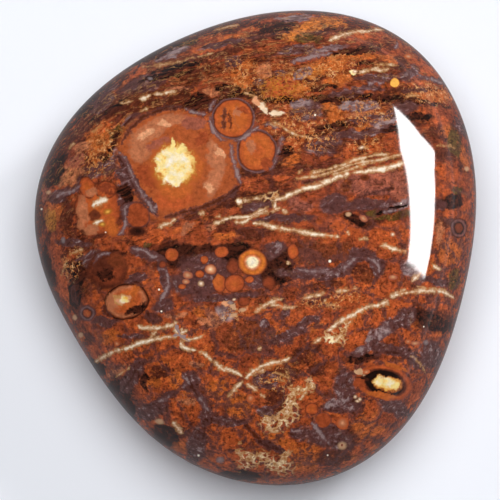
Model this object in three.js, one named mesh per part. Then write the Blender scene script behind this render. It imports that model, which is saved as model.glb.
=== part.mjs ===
// A tumbled and polished pebble of leopard skin jasper, in millimetres.
// It is one solid piece: a rounded, faintly three-cornered slab with a low domed top, a full round rim
// and a small flat spot underneath that it rests on. +Z is up, the surface it lies on is Z = 0,
// and the origin is on that surface, under the middle of the pebble's box.
import * as THREE from "three";
import { mergeVertices } from "three/addons/utils/BufferGeometryUtils.js";

// The outline seen from above: a circle of the mean radius with broad swells.
// Each swell has a number of crests round the stone, a rise, and the direction of one crest in degrees from +X.
const meanRadius = 19.1;
const outlineSwells = [
  { crests: 1, rise: 1.02, towards: 41 },
  { crests: 2, rise: 0.79, towards: 84.5 },
  { crests: 3, rise: 1.13, towards: 45.3 },
  { crests: 4, rise: 0.14, towards: -32.5 },
];

// The profile from rim to crown. Powers of 2 give an ellipse. A higher crown power flattens the top and fills out
// the shoulder, and a higher rim power makes the rim itself stand straighter.
const crownPower = 2.85;
const rimPower = 2.12;
const crownRise = 8.7;
const bellyDrop = 7.9;
const crownShift = { x: -0.6, y: 0.4 };

// The worn flat spot is this much above the deepest point of the full belly, and melts into it over the blend.
const flatLift = 0.29;
const flatBlend = 0.16;

// Low swells that tumbling leaves: the distance from crest to crest, the rise, a direction and a start in degrees.
const tumbledSwells = [
  { length: 27, rise: 0.12, direction: [0.92, 0.36, 0.15], start: 40 },
  { length: 21, rise: 0.09, direction: [-0.45, 0.85, 0.28], start: 200 },
  { length: 15, rise: 0.05, direction: [0.3, -0.55, 0.78], start: 110 },
];
const swellsFadeBelow = 3.5;

const facetsPerSide = 24;

const radians = THREE.MathUtils.degToRad;

function outlineRadius(angle) {
  return outlineSwells.reduce(
    (radius, swell) => radius + swell.rise * Math.cos(swell.crests * (angle - radians(swell.towards))),
    meanRadius,
  );
}

// The higher of two heights, rounded over where they cross, and exactly the floor where it is well above.
function meltInto(floor, height, blend) {
  const overlap = Math.max(blend - Math.abs(height - floor), 0);
  return Math.max(height, floor) + (overlap * overlap) / (4 * blend);
}

function tumbledRise(point) {
  return tumbledSwells.reduce((sum, swell) => {
    const along = point.dot(new THREE.Vector3(...swell.direction).normalize());
    return sum + swell.rise * Math.sin((2 * Math.PI * along) / swell.length + radians(swell.start));
  }, 0);
}

// Carries a direction from the stone's middle to the point of its surface there, with the floor at height 0.
function surfacePoint(direction) {
  const spread = Math.pow(Math.hypot(direction.x, direction.y), 2 / crownPower);
  const angle = Math.atan2(direction.y, direction.x);
  const reach = spread * outlineRadius(angle);
  const towardsCrown = Math.max(direction.z, 0) ** 2;
  const lift = Math.sign(direction.z) * Math.pow(Math.abs(direction.z), 2 / rimPower);
  const height = lift * (lift > 0 ? crownRise : bellyDrop);
  const rimHeight = bellyDrop - flatLift;
  const point = new THREE.Vector3(
    reach * Math.cos(angle) + crownShift.x * towardsCrown,
    reach * Math.sin(angle) + crownShift.y * towardsCrown,
    rimHeight + height,
  );
  const fade = THREE.MathUtils.smoothstep(point.z, 0, swellsFadeBelow);
  point.addScaledVector(direction, tumbledRise(point) * fade);
  point.z = meltInto(0, point.z, flatBlend);
  return point;
}

function pebbleGeometry() {
  const box = new THREE.BoxGeometry(2, 2, 2, facetsPerSide, facetsPerSide, facetsPerSide);
  box.deleteAttribute("normal");
  box.deleteAttribute("uv");
  const pebble = mergeVertices(box);
  const places = pebble.getAttribute("position");
  const quarter = Math.PI / 4;
  for (let i = 0; i < places.count; i += 1) {
    // Equal steps of angle across each side keep the facets alike in size.
    const direction = new THREE.Vector3(
      ...[places.getX(i), places.getY(i), places.getZ(i)].map((step) => Math.tan(step * quarter)),
    ).normalize();
    const point = surfacePoint(direction);
    places.setXYZ(i, point.x, point.y, point.z);
  }
  pebble.computeBoundingBox();
  const middle = pebble.boundingBox.getCenter(new THREE.Vector3());
  pebble.translate(-middle.x, -middle.y, 0);
  pebble.computeVertexNormals();
  return pebble;
}

const polishedJasper = new THREE.MeshStandardMaterial({ color: 0x8a3f22, roughness: 0.12, metalness: 0 });

const stone = new THREE.Mesh(pebbleGeometry(), polishedJasper);
stone.name = "stone";

const pebble = new THREE.Group();
pebble.add(stone);

export default pebble;
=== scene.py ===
# A tumbled and polished pebble of leopard skin jasper, seen from almost straight above.
# Named sizes and places are in millimetres and degrees. The mesh is in metres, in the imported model's frame.
import math
from types import SimpleNamespace

import bmesh
import bpy
import numpy as np
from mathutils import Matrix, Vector, noise


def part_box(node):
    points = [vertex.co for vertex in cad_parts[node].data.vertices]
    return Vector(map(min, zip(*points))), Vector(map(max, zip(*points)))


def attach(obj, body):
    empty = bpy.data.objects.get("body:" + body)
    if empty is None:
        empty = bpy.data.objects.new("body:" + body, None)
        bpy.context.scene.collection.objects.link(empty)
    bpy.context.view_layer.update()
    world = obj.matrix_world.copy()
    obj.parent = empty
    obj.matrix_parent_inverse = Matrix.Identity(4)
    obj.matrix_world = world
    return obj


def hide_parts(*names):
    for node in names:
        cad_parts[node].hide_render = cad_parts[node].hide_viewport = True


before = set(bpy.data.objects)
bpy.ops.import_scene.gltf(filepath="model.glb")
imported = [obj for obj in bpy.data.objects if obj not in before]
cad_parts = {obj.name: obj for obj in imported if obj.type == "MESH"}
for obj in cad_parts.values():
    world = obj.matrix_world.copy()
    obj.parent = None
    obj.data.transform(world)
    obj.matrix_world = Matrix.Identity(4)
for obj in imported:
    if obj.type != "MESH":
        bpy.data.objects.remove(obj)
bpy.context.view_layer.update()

MM = 0.001

# The outline from above: a mean radius with swells, each with its crests, rise and the direction of a crest.
MEAN_RADIUS = 19.1
OUTLINE_SWELLS = [(1, 1.02, 41.0), (2, 0.79, 84.5), (3, 1.13, 45.3), (4, 0.14, -32.5)]

# The profile from rim to crown, the same as the solid's.
CROWN_POWER = 2.85
RIM_POWER = 2.12
CROWN_RISE = 8.7
BELLY_DROP = 7.9
CROWN_SHIFT = (-0.6, 0.4)
FLAT_LIFT = 0.29
FLAT_BLEND = 0.16
RIM_HEIGHT = BELLY_DROP - FLAT_LIFT

# Low swells that tumbling leaves: the length from crest to crest, the rise, a direction and a start.
TUMBLED_SWELLS = [
    (27.0, 0.12, (0.92, 0.36, 0.15), 40.0),
    (21.0, 0.09, (-0.45, 0.85, 0.28), 200.0),
    (15.0, 0.05, (0.30, -0.55, 0.78), 110.0),
]
SWELLS_FADE_BELOW = 3.5

# Each side of the cube that the pebble is blown up from is cut into this many squares.
SQUARES_PER_SIDE = 124

# The polish follows very shallow hollows that only the edge of a reflection shows.
RIPPLE_LENGTH = 4.2
RIPPLE_RISE = 0.010

CAMERA_ELEVATION = 84.0
CAMERA_DISTANCE = 600.0
VIEW_WIDTH = 42.02
VIEW_MIDDLE = (-0.46, -0.22)

# Every mark of the top has its place on a chart, as seen from the camera's tilt: millimetres across and up.
CHART_TILT = math.radians(90 - CAMERA_ELEVATION)

# The colours of the stone as sRGB hex: the browns and reds, the violets and greys, then the pale ones.
COLOURS = {
    "black": "1E100C",
    "black_brown": "442016",
    "dark_brown": "5A2A1C",
    "brown": "733720",
    "red_brown": "863D24",
    "brick": "994626",
    "red_orange": "B2532A",
    "orange": "B95E2A",
    "bright_orange": "CE742C",
    "rose_brown": "9C5642",
    "rust": "A5522B",
    "salmon": "B46C49",
    "peach": "DC9A70",
    "violet": "5A3632",
    "grey_violet": "705150",
    "grey": "746868",
    "lavender": "967E7C",
    "olive": "5C4420",
    "ochre": "AA6A28",
    "buff": "C08A52",
    "tan": "C69A74",
    "pale_buff": "ECCFAE",
    "gold": "EFB050",
    "yellow": "F8DC8C",
    "cream": "F6E2B4",
    "white": "FBEEDA",
}

# Patches of one colour: the colour, the middle, the half length and half breadth, and the turn in degrees.
PATCHES = {
    "upper_left": [
        ("dark_brown", -13.3, 10.9, 3.6, 0.8, 42), ("dark_brown", -9.4, 12.5, 3.8, 0.5, 14),
        ("dark_brown", -5.4, 14.5, 3.0, 0.4, 10), ("brown", -7.9, 15.4, 3.0, 0.4, 20),
        ("dark_brown", -3.6, 15.9, 2.8, 0.35, 14), ("dark_brown", -7.6, 11.7, 2.4, 0.45, 12),
        ("dark_brown", -16.2, 8.0, 1.8, 0.6, 55), ("black_brown", -1.0, 12.7, 1.8, 0.3, -4),
        ("dark_brown", -14.8, 9.6, 2.2, 0.55, 34), ("violet", -12.9, 11.9, 1.2, 0.5, 38),
        ("orange", -13.2, 8.8, 1.2, 1.0, 60), ("red_orange", -12.6, 9.9, 0.9, 0.4, 30),
        ("red_orange", -14.6, 11.4, 1.9, 0.35, 48), ("salmon", -14.3, 8.3, 0.7, 0.5, 0),
        ("olive", -11.5, 9.6, 0.9, 0.5, 50), ("dark_brown", -9.4, 11.9, 3.0, 0.75, 12),
        ("violet", -9.2, 13.7, 2.0, 0.6, 12), ("red_orange", -9.9, 14.6, 0.8, 0.45, 10),
        ("orange", -11.4, 14.1, 0.8, 0.5, 25), ("orange", -12.2, 13.1, 0.4, 0.6, 20),
        ("red_orange", -9.0, 16.0, 1.4, 0.4, 28), ("brick", -7.5, 14.1, 1.0, 0.35, 5),
        ("grey_violet", -7.0, 16.3, 1.3, 0.45, 22), ("black_brown", -6.6, 15.0, 2.0, 0.25, 12),
        ("black_brown", -11.8, 8.1, 0.5, 1.6, -20), ("grey_violet", -11.5, 7.4, 0.4, 0.9, 5),
        ("violet", -10.2, 10.6, 0.9, 0.5, 30), ("orange", -12.9, 6.9, 0.6, 0.4, 20),
        ("salmon", -6.6, 13.2, 0.9, 0.2, 5), ("salmon", -3.5, 12.9, 0.6, 0.35, 0),
        ("black_brown", -4.7, 12.0, 1.2, 0.6, 8), ("olive", -6.0, 17.2, 1.8, 0.3, 22),
        ("dark_brown", -2.6, 18.4, 2.6, 0.5, 10), ("red_orange", -4.4, 16.6, 1.0, 0.42, 12),
        ("orange", -2.0, 17.5, 1.1, 0.28, 16), ("violet", -3.0, 17.0, 1.8, 0.22, 12),
        ("dark_brown", -0.9, 17.3, 1.4, 0.4, 8), ("red_orange", -0.5, 18.1, 0.9, 0.22, 8),
    ],
    "top": [
        ("black_brown", 1.8, 18.3, 1.7, 0.35, 14), ("bright_orange", 3.0, 17.6, 0.9, 0.5, 30),
        ("bright_orange", 4.6, 18.6, 1.8, 0.42, 18), ("bright_orange", 6.5, 18.9, 1.3, 0.4, -5),
        ("grey_violet", 3.4, 19.2, 1.6, 0.3, 6), ("olive", 4.4, 17.5, 1.1, 0.4, 5),
        ("dark_brown", 8.6, 18.8, 1.2, 0.3, -8), ("violet", 3.4, 16.4, 1.6, 0.4, 12),
        ("grey_violet", 6.0, 16.6, 1.6, 0.3, 10), ("red_brown", 8.9, 17.4, 2.6, 0.6, 8),
        ("red_orange", 9.2, 17.7, 1.6, 0.3, 6), ("dark_brown", 9.8, 16.75, 2.8, 0.28, 6),
        ("red_brown", 12.6, 16.8, 1.3, 0.5, -35), ("orange", 9.2, 15.95, 1.4, 0.32, 8),
        ("orange", 11.3, 15.85, 0.9, 0.3, 0), ("dark_brown", 12.5, 15.7, 0.9, 0.3, -20),
        ("brick", 13.5, 15.6, 1.0, 0.4, -30), ("orange", 6.4, 15.3, 1.9, 0.6, 12),
        ("bright_orange", 5.0, 14.6, 0.6, 0.4, 40), ("red_brown", 8.2, 15.2, 0.9, 0.5, 0),
        ("black_brown", 9.2, 15.3, 0.7, 0.2, 10), ("orange", 7.0, 13.8, 1.2, 0.5, 15),
        ("red_orange", 2.4, 13.5, 1.4, 0.8, 5), ("orange", 4.0, 13.3, 1.1, 0.35, 10),
        ("orange", -0.8, 15.2, 0.6, 0.35, 0), ("orange", -1.6, 14.3, 0.5, 0.4, 0),
        ("orange", -0.9, 13.7, 0.9, 0.45, 0), ("salmon", 0.8, 14.6, 0.7, 0.6, 40),
        ("red_brown", 1.4, 16.9, 1.3, 0.5, 8), ("violet", 0.4, 13.7, 0.6, 0.28, 0),
        ("violet", -1.9, 15.4, 0.7, 0.5, 0), ("violet", 2.2, 14.5, 0.5, 0.3, 0),
        ("black_brown", -2.2, 13.1, 1.1, 0.4, -15),
    ],
    "upper_right": [
        ("violet", 10.2, 14.1, 1.6, 0.3, 0), ("violet", 12.9, 14.6, 1.1, 0.5, 30),
        ("red_orange", 14.7, 14.8, 1.2, 0.4, -32), ("violet", 15.2, 13.9, 1.6, 0.18, -14),
        ("red_orange", 13.9, 13.7, 0.9, 0.2, -10), ("orange", 15.2, 12.6, 1.9, 0.55, -8),
        ("orange", 16.4, 12.4, 0.8, 0.5, -50), ("dark_brown", 12.8, 13.1, 1.6, 0.16, 0),
        ("grey_violet", 8.6, 11.8, 1.6, 0.4, 0), ("violet", 12.9, 11.9, 1.2, 0.3, 5),
        ("salmon", 8.9, 11.1, 1.3, 0.25, 3), ("violet", 9.3, 10.6, 1.8, 0.3, 8),
        ("orange", 6.7, 10.9, 0.7, 0.9, 10), ("orange", 9.3, 9.9, 1.2, 0.3, 15),
        ("grey_violet", 10.9, 10.6, 1.1, 0.5, 25), ("violet", 10.4, 9.7, 1.6, 0.25, 12),
        ("violet", 7.2, 9.3, 1.2, 0.35, 15), ("brick", 11.4, 9.0, 0.9, 0.6, 5),
        ("red_orange", 14.8, 11.0, 1.4, 0.6, -25), ("red_brown", 16.2, 11.6, 0.9, 0.8, -40),
        ("dark_brown", 15.2, 9.5, 1.0, 0.5, -20), ("orange", 16.1, 9.6, 0.8, 0.5, -40),
        ("olive", 16.6, 8.8, 0.6, 1.2, 10), ("violet", 17.2, 10.2, 0.4, 0.8, 25),
        ("dark_brown", 15.8, 7.7, 0.8, 0.5, 0), ("dark_brown", 8.0, 8.2, 1.9, 0.6, 5),
        ("red_orange", 9.9, 8.3, 0.8, 0.5, 10), ("red_orange", 7.9, 8.0, 0.6, 0.5, 40),
        ("orange", 5.5, 11.6, 0.8, 0.4, 20), ("black_brown", 8.0, 16.3, 2.2, 0.28, 8),
        ("grey_violet", 3.9, 14.5, 0.8, 0.4, 20), ("black_brown", 6.0, 12.3, 2.2, 0.32, 0),
        ("violet", 7.6, 12.7, 1.4, 0.28, 5), ("black_brown", 10.6, 12.4, 2.2, 0.24, -3),
        ("violet", 11.7, 11.2, 1.9, 0.35, 10), ("black_brown", 13.2, 10.8, 1.5, 0.28, 5),
        ("black_brown", 6.4, 10.1, 1.6, 0.3, 10), ("violet", 8.4, 9.4, 1.4, 0.25, 8),
        ("black_brown", 14.5, 12.0, 1.7, 0.2, -8), ("black_brown", 2.0, 12.3, 1.4, 0.3, 0),
        ("black_brown", 5.6, 13.2, 1.2, 0.25, 5), ("violet", 9.0, 13.1, 1.8, 0.22, 2),
        ("black_brown", 11.9, 9.9, 1.3, 0.22, 8),
    ],
    "beside_the_orbs": [
        ("violet", 4.3, 11.3, 1.3, 0.8, 10), ("grey_violet", 3.7, 11.9, 0.8, 0.4, 0),
        ("brick", 2.8, 11.6, 0.8, 0.8, 0), ("red_brown", 1.5, 10.8, 0.8, 0.4, 0),
        ("brick", 4.6, 9.9, 1.4, 0.6, 5), ("red_orange", 3.0, 8.6, 0.9, 0.45, 0),
        ("violet", 5.6, 8.4, 1.5, 0.7, 10), ("black_brown", 2.6, 8.0, 0.7, 0.4, 0),
        ("orange", 3.0, 7.3, 0.8, 0.5, 25), ("dark_brown", 3.6, 6.7, 0.8, 0.3, 30),
        ("red_brown", 4.6, 7.4, 0.9, 0.5, 15),
    ],
    "upper_left_rim": [
        ("dark_brown", -16.4, 8.9, 2.0, 0.5, 60), ("black_brown", -14.0, 11.9, 2.2, 0.4, 46),
        ("dark_brown", -11.4, 14.3, 2.2, 0.5, 38), ("black_brown", -8.3, 16.3, 2.4, 0.35, 27),
        ("dark_brown", -4.8, 17.9, 2.2, 0.3, 16), ("violet", -12.6, 12.9, 1.4, 0.3, 40),
        ("black_brown", -12.2, 11.4, 1.8, 0.3, 35), ("black_brown", -7.6, 14.2, 2.2, 0.25, 12),
        ("dark_brown", -9.9, 13.4, 1.6, 0.3, 22), ("dark_brown", -18.0, 3.0, 0.4, 2.8, -5),
        ("black_brown", -17.3, -1.6, 0.35, 1.8, 12),
    ],
    "left": [
        ("black_brown", -16.7, 6.4, 0.6, 1.6, -25), ("salmon", -15.3, 6.1, 0.8, 1.1, -25),
        ("salmon", -16.4, 5.4, 0.45, 0.35, 0), ("rose_brown", -14.9, 7.2, 0.8, 0.5, 30),
        ("violet", -16.4, 4.3, 1.1, 0.45, 20), ("violet", -14.6, 5.1, 1.0, 0.4, 45),
        ("violet", -12.8, 6.5, 1.6, 0.6, 12), ("dark_brown", -11.2, 5.2, 0.9, 1.0, 0),
        ("brick", -11.3, 5.6, 0.45, 0.4, 0), ("violet", -10.4, 5.0, 0.6, 1.8, 25),
        ("violet", -10.9, 6.8, 0.8, 1.0, 25), ("violet", -10.7, 3.2, 0.5, 1.4, 15),
        ("orange", -16.7, 3.0, 0.7, 0.9, 10), ("ochre", -17.1, 2.2, 0.5, 0.9, 10),
        ("dark_brown", -15.7, 2.4, 0.5, 1.4, 0), ("brick", -16.6, 0.6, 0.5, 0.6, 0),
        ("violet", -15.2, 0.4, 1.4, 0.3, -5), ("rose_brown", -17.5, 4.6, 0.5, 0.7, 0),
    ],
    "red_band": [
        ("violet", -8.9, 3.4, 1.3, 0.4, -42), ("violet", -7.2, 2.6, 1.2, 0.4, 0),
        ("dark_brown", -4.0, 3.5, 2.6, 0.45, 24), ("brick", -4.9, 4.0, 1.6, 0.5, 20),
        ("red_orange", -8.6, 0.8, 1.8, 0.6, 8), ("red_orange", -6.2, 1.6, 1.4, 0.5, 20),
        ("salmon", -5.7, 1.7, 0.6, 0.35, 30), ("brick", -4.2, 1.1, 1.1, 0.7, 0),
        ("salmon", -3.6, 1.6, 0.5, 0.25, 0), ("orange", -2.3, 1.0, 1.1, 0.3, 5),
        ("brick", -1.5, 5.2, 2.4, 0.5, 8), ("violet", -2.2, 4.5, 0.7, 0.4, 30),
        ("brick", -2.4, 3.0, 1.2, 0.4, 5), ("violet", 0.2, 3.4, 1.4, 0.3, 8),
        ("red_brown", 0.3, 5.0, 1.2, 0.5, 0), ("dark_brown", 1.6, 5.4, 0.7, 0.4, 0),
        ("red_orange", 2.2, 5.7, 0.7, 0.3, 0), ("rose_brown", 3.8, 3.6, 1.0, 0.7, -20),
        ("brick", 5.0, 4.3, 1.2, 0.5, 15), ("violet", 2.2, 2.4, 2.6, 0.25, 0),
        ("brick", 4.6, 2.0, 1.6, 0.35, -3), ("brick", 2.4, 0.9, 1.9, 0.35, -3),
        ("dark_brown", -0.1, 1.2, 1.3, 0.5, -4), ("olive", -9.0, 0.2, 0.4, 0.2, 0),
    ],
    "right": [
        ("rose_brown", 9.8, 5.5, 2.9, 1.0, 7), ("rose_brown", 12.0, 4.9, 1.0, 0.9, 0),
        ("brown", 7.6, 5.2, 0.4, 0.6, -20), ("red_brown", 5.9, 5.1, 1.0, 0.5, 15),
        ("violet", 6.4, 3.6, 1.2, 0.8, 5), ("violet", 9.4, 3.6, 2.4, 0.4, 4),
        ("grey_violet", 12.2, 3.6, 0.7, 0.5, 10), ("black", 11.3, 3.2, 1.3, 0.22, 12),
        ("olive", 9.6, 2.8, 0.45, 0.3, 0), ("olive", 11.2, 2.5, 1.9, 0.3, 10),
        ("black_brown", 8.2, 2.3, 1.0, 0.4, -20), ("dark_brown", 9.9, 2.0, 1.0, 0.28, 10),
        ("red_orange", 7.3, 1.7, 1.3, 0.8, -12), ("red_orange", 11.2, 1.2, 1.9, 0.9, 5),
        ("red_orange", 9.4, 1.2, 1.2, 0.3, -10), ("brick", 8.2, 0.4, 1.8, 0.5, 0),
        ("brown", 4.9, -0.4, 2.0, 0.95, -4), ("brown", 7.0, -0.4, 1.3, 0.9, 0),
        ("brick", 11.3, -0.9, 1.6, 0.7, -5), ("brick", 11.4, -2.1, 1.4, 0.8, 0),
        ("violet", 8.7, -0.6, 0.7, 0.55, 0), ("violet", 7.6, -1.5, 1.2, 0.35, 35),
        ("violet", 10.0, -1.5, 0.5, 1.0, 25), ("violet", 9.2, -0.9, 0.9, 0.3, -25),
        ("dark_brown", 8.6, -1.8, 1.4, 0.35, -6), ("violet", 6.4, -2.3, 1.4, 0.35, 6),
        ("brown", 9.3, -2.5, 0.8, 0.5, 0), ("grey_violet", 13.0, -1.7, 0.9, 0.6, -15),
    ],
    "right_edge": [
        ("red_orange", 16.0, 6.3, 1.0, 0.8, -10), ("red_orange", 15.8, 5.0, 0.9, 0.5, -12),
        ("olive", 16.7, 4.7, 0.5, 0.4, 0), ("black_brown", 16.4, 3.8, 0.9, 0.5, 0),
        ("red_orange", 16.7, 2.9, 1.1, 0.4, 0), ("dark_brown", 15.8, 2.1, 0.8, 0.35, 0),
        # The salmon strip at 15.3, 1.2 is a painted reflection: the pale veil of the polish beside the window's
        # highlight.
        ("salmon", 15.3, 1.2, 0.4, 1.0, 0), ("orange", 16.2, -0.4, 1.0, 1.0, -30),
        ("olive", 16.6, -2.7, 0.6, 0.9, -10), ("violet", 14.8, -2.8, 1.1, 0.35, -10),
        ("violet", 15.4, 3.5, 0.5, 0.4, 0), ("brick", 15.4, -2.0, 0.7, 0.3, -10),
        ("orange", 17.5, 7.4, 0.3, 1.0, 10), ("brick", 17.5, -1.0, 0.4, 1.6, -10),
    ],
    "dark_middle": [
        ("black_brown", -6.4, -0.6, 1.9, 1.0, 0), ("black_brown", -4.2, -0.3, 2.6, 0.6, -3),
        ("violet", -3.8, -1.6, 2.4, 1.1, 0), ("violet", -5.0, -3.0, 2.2, 1.0, 0),
        ("black_brown", -1.6, -0.4, 1.2, 0.7, 10), ("violet", 0.3, -2.9, 1.2, 0.7, 0),
        ("black_brown", 1.6, -1.6, 1.3, 1.7, 0), ("violet", 1.5, -0.2, 0.9, 0.6, 20),
        ("lavender", 1.7, -0.1, 0.5, 0.2, 62), ("violet", 4.6, -2.2, 2.4, 0.4, -4),
        ("dark_brown", 2.7, -1.1, 0.6, 1.0, 0), ("violet", -2.6, -4.1, 2.8, 0.3, 3),
        ("red_brown", -4.8, -4.2, 2.4, 0.5, 10), ("brown", -0.6, -3.9, 1.6, 0.35, 0),
        ("red_orange", 3.3, -3.0, 1.3, 0.5, 6), ("red_brown", 3.0, -3.6, 2.0, 0.4, 4),
        ("dark_brown", 5.8, -3.1, 1.6, 0.3, 4),
    ],
    "double_orb": [
        ("black_brown", -12.3, -1.9, 1.5, 1.4, 0), ("violet", -13.9, -0.9, 1.2, 0.5, 25),
        ("black_brown", -15.0, -1.7, 0.8, 0.6, 10), ("black_brown", -14.9, -3.4, 0.6, 1.6, -8),
        ("brown", -13.6, -3.2, 0.6, 1.0, 0), ("brick", -10.4, -1.6, 1.4, 0.8, -15),
        ("red_orange", -10.6, -1.8, 0.6, 0.4, 0), ("violet", -9.9, -2.6, 1.0, 0.3, 10),
        ("red_orange", -8.6, -3.1, 0.9, 1.2, 10), ("red_orange", -13.2, -4.6, 0.5, 0.9, 25),
        ("violet", -7.6, -2.6, 0.4, 1.5, 12), ("violet", -7.7, -4.9, 0.9, 0.5, 25),
        ("violet", -9.0, -0.6, 1.6, 0.35, -20), ("brick", -11.9, 0.1, 1.6, 0.4, -5),
        ("red_orange", -6.6, -5.2, 1.4, 0.6, 12), ("brick", -9.2, -5.5, 1.0, 0.5, 5),
        ("dark_brown", -8.5, -5.9, 0.8, 0.35, 0), ("violet", -12.6, -6.2, 1.0, 0.4, 0),
        ("dark_brown", -14.8, -5.0, 0.8, 0.6, 0), ("red_orange", -16.1, -3.2, 0.35, 1.2, 15),
        ("brick", -16.6, -1.2, 0.4, 1.4, 8), ("orange", -15.4, -4.3, 0.3, 0.6, 15),
    ],
    "lower_left": [
        ("brick", -12.7, -7.4, 1.6, 0.9, 10), ("dark_brown", -14.0, -7.6, 0.35, 0.6, 10),
        ("orange", -14.6, -7.6, 0.3, 0.4, 0), ("violet", -10.4, -7.3, 1.1, 0.22, -3),
        ("red_orange", -10.6, -9.2, 2.2, 0.6, 22), ("brick", -12.0, -10.2, 1.0, 0.6, 20),
        ("black_brown", -13.3, -10.1, 0.5, 0.7, 40), ("black_brown", -11.3, -12.0, 1.1, 1.1, 40),
        ("violet", -10.3, -10.9, 0.55, 1.6, -28), ("black_brown", -10.8, -13.4, 0.7, 1.2, 40),
        ("red_brown", -9.9, -12.6, 0.3, 1.2, 0), ("red_orange", -7.6, -8.8, 0.9, 0.4, -10),
        ("red_orange", -6.0, -9.4, 1.1, 0.6, -20), ("brick", -6.6, -8.6, 0.9, 0.3, -10),
        ("red_orange", -8.5, -11.6, 1.2, 1.3, 0), ("orange", -8.3, -11.2, 0.6, 0.5, 0),
        ("dark_brown", -8.1, -10.4, 0.8, 0.5, 20), ("black_brown", -9.2, -11.3, 0.35, 0.7, 0),
        ("red_orange", -6.5, -11.2, 0.6, 1.0, 0), ("violet", -7.6, -12.6, 1.3, 0.28, 28),
        ("violet", -8.6, -13.6, 1.2, 0.7, 12), ("red_orange", -5.8, -13.1, 1.2, 0.6, -10),
        ("brick", -7.4, -14.4, 0.7, 0.5, 0), ("red_orange", -9.1, -14.8, 0.4, 0.8, -35),
        ("black_brown", -7.6, -15.6, 1.1, 0.8, -30), ("orange", -6.4, -16.6, 0.8, 0.5, -30),
        ("salmon", -11.6, -10.3, 0.8, 0.3, 20), ("salmon", -5.6, -12.9, 0.8, 0.3, -10),
        ("orange", -6.6, -11.0, 0.5, 0.8, 0), ("salmon", -6.6, -5.6, 1.0, 0.2, 15),
        ("orange", -12.2, -7.4, 0.9, 0.5, 15), ("brick", -5.0, -14.8, 0.6, 0.6, 0),
        ("violet", -4.9, -16.4, 0.8, 1.6, -5), ("dark_brown", -6.0, -15.3, 0.6, 0.5, 0),
    ],
    "lower_middle": [
        ("salmon", -3.6, -5.9, 1.1, 0.7, 10), ("orange", -4.4, -5.3, 0.6, 0.5, 20),
        ("red_orange", -5.0, -7.4, 1.0, 0.8, 10), ("red_brown", -2.6, -7.2, 0.9, 1.0, 0),
        ("brown", -0.6, -7.4, 2.1, 1.3, 8), ("grey_violet", -2.5, -5.4, 0.8, 0.6, -20),
        ("red_orange", 2.4, -5.7, 1.6, 0.8, 8), ("violet", 0.8, -6.1, 0.4, 0.5, 0),
        ("violet", 2.4, -5.6, 0.35, 0.35, 0), ("violet", 2.8, -7.2, 1.6, 0.4, 22),
        ("brick", 1.9, -8.4, 1.7, 0.5, 10), ("violet", 4.2, -6.1, 1.2, 0.3, 20),
        ("red_brown", -0.6, -8.9, 2.0, 0.4, 0), ("dark_brown", 4.2, -8.9, 1.6, 0.7, 18),
        ("brick", 5.6, -9.0, 0.8, 0.4, 20), ("red_orange", -3.3, -11.3, 1.6, 1.3, 10),
        ("orange", -3.2, -11.6, 1.0, 0.8, 10), ("salmon", -4.9, -9.8, 0.6, 0.25, 0),
        ("orange", -2.6, -16.0, 1.2, 1.2, 0), ("violet", -5.4, -11.1, 0.65, 0.8, 0),
        ("violet", -4.5, -12.7, 0.35, 1.1, 38), ("violet", -4.0, -14.0, 0.6, 0.8, 10),
        ("orange", -1.3, -13.0, 1.1, 0.9, 0), ("violet", 1.0, -11.0, 1.1, 0.6, 0),
        ("dark_brown", 1.7, -12.7, 0.9, 1.2, 0), ("violet", 0.9, -13.6, 0.6, 0.5, 0),
        ("violet", -2.4, -14.4, 1.6, 0.35, 0), ("red_orange", 0.0, -14.9, 0.9, 0.6, -20),
        ("dark_brown", 2.6, -10.4, 1.4, 0.5, 0), ("orange", 1.6, -16.0, 1.1, 0.5, -10),
        ("violet", 1.2, -16.5, 1.2, 0.3, -20), ("violet", 3.6, -15.4, 0.8, 0.5, 20),
        ("brick", 4.0, -14.4, 0.8, 0.9, 0), ("brick", 5.6, -11.4, 0.9, 1.0, 0),
        ("dark_brown", 5.0, -10.2, 0.8, 0.5, 0), ("red_orange", -2.4, -16.7, 1.8, 1.9, 0),
        ("orange", 3.7, -17.6, 1.9, 1.0, 10), ("brick", 1.2, -17.4, 1.0, 0.7, 0),
        ("black_brown", -1.2, -19.0, 1.6, 0.4, -6),
    ],
    "lower_right": [
        ("red_orange", 8.2, -4.3, 2.6, 0.9, 12), ("brick", 7.0, -5.3, 1.6, 0.4, 14),
        ("red_orange", 10.0, -5.9, 2.0, 0.6, 22), ("red_orange", 13.9, -4.7, 2.3, 0.7, -2),
        ("dark_brown", 14.6, -6.1, 2.0, 0.9, -6), ("black_brown", 14.0, -5.8, 1.1, 0.5, -12),
        ("black_brown", 15.3, -6.6, 1.0, 0.6, -20), ("violet", 12.4, -5.8, 0.8, 0.8, 30),
        ("violet", 11.2, -6.4, 1.3, 0.5, 20), ("grey_violet", 10.3, -7.1, 1.1, 0.5, 42),
        ("lavender", 10.2, -7.0, 0.8, 0.25, 45), ("red_orange", 8.4, -7.2, 1.3, 0.6, 30),
        ("brick", 6.7, -8.7, 0.9, 0.6, 0), ("red_orange", 13.3, -7.4, 1.4, 0.5, -12),
        ("violet", 9.0, -8.5, 1.5, 0.4, 25), ("violet", 11.4, -8.5, 1.9, 0.4, -8),
        ("black_brown", 8.8, -9.3, 1.2, 0.3, 0), ("violet", 14.7, -9.0, 0.9, 1.1, 0),
        ("violet", 13.2, -9.3, 1.4, 0.4, -42), ("violet", 7.4, -11.4, 0.9, 1.4, 0),
        ("violet", 7.2, -13.1, 1.6, 0.6, 0), ("lavender", 6.7, -12.9, 0.9, 0.3, 10),
        ("violet", 6.0, -15.7, 1.8, 0.9, -10), ("violet", 11.7, -13.4, 1.4, 0.6, -25),
        ("dark_brown", 7.6, -15.9, 1.6, 0.9, 0), ("orange", 9.6, -14.8, 1.4, 1.0, 10),
        ("red_orange", 9.4, -13.7, 0.4, 0.7, 5), ("brick", 11.1, -14.2, 1.1, 0.7, 20),
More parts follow.
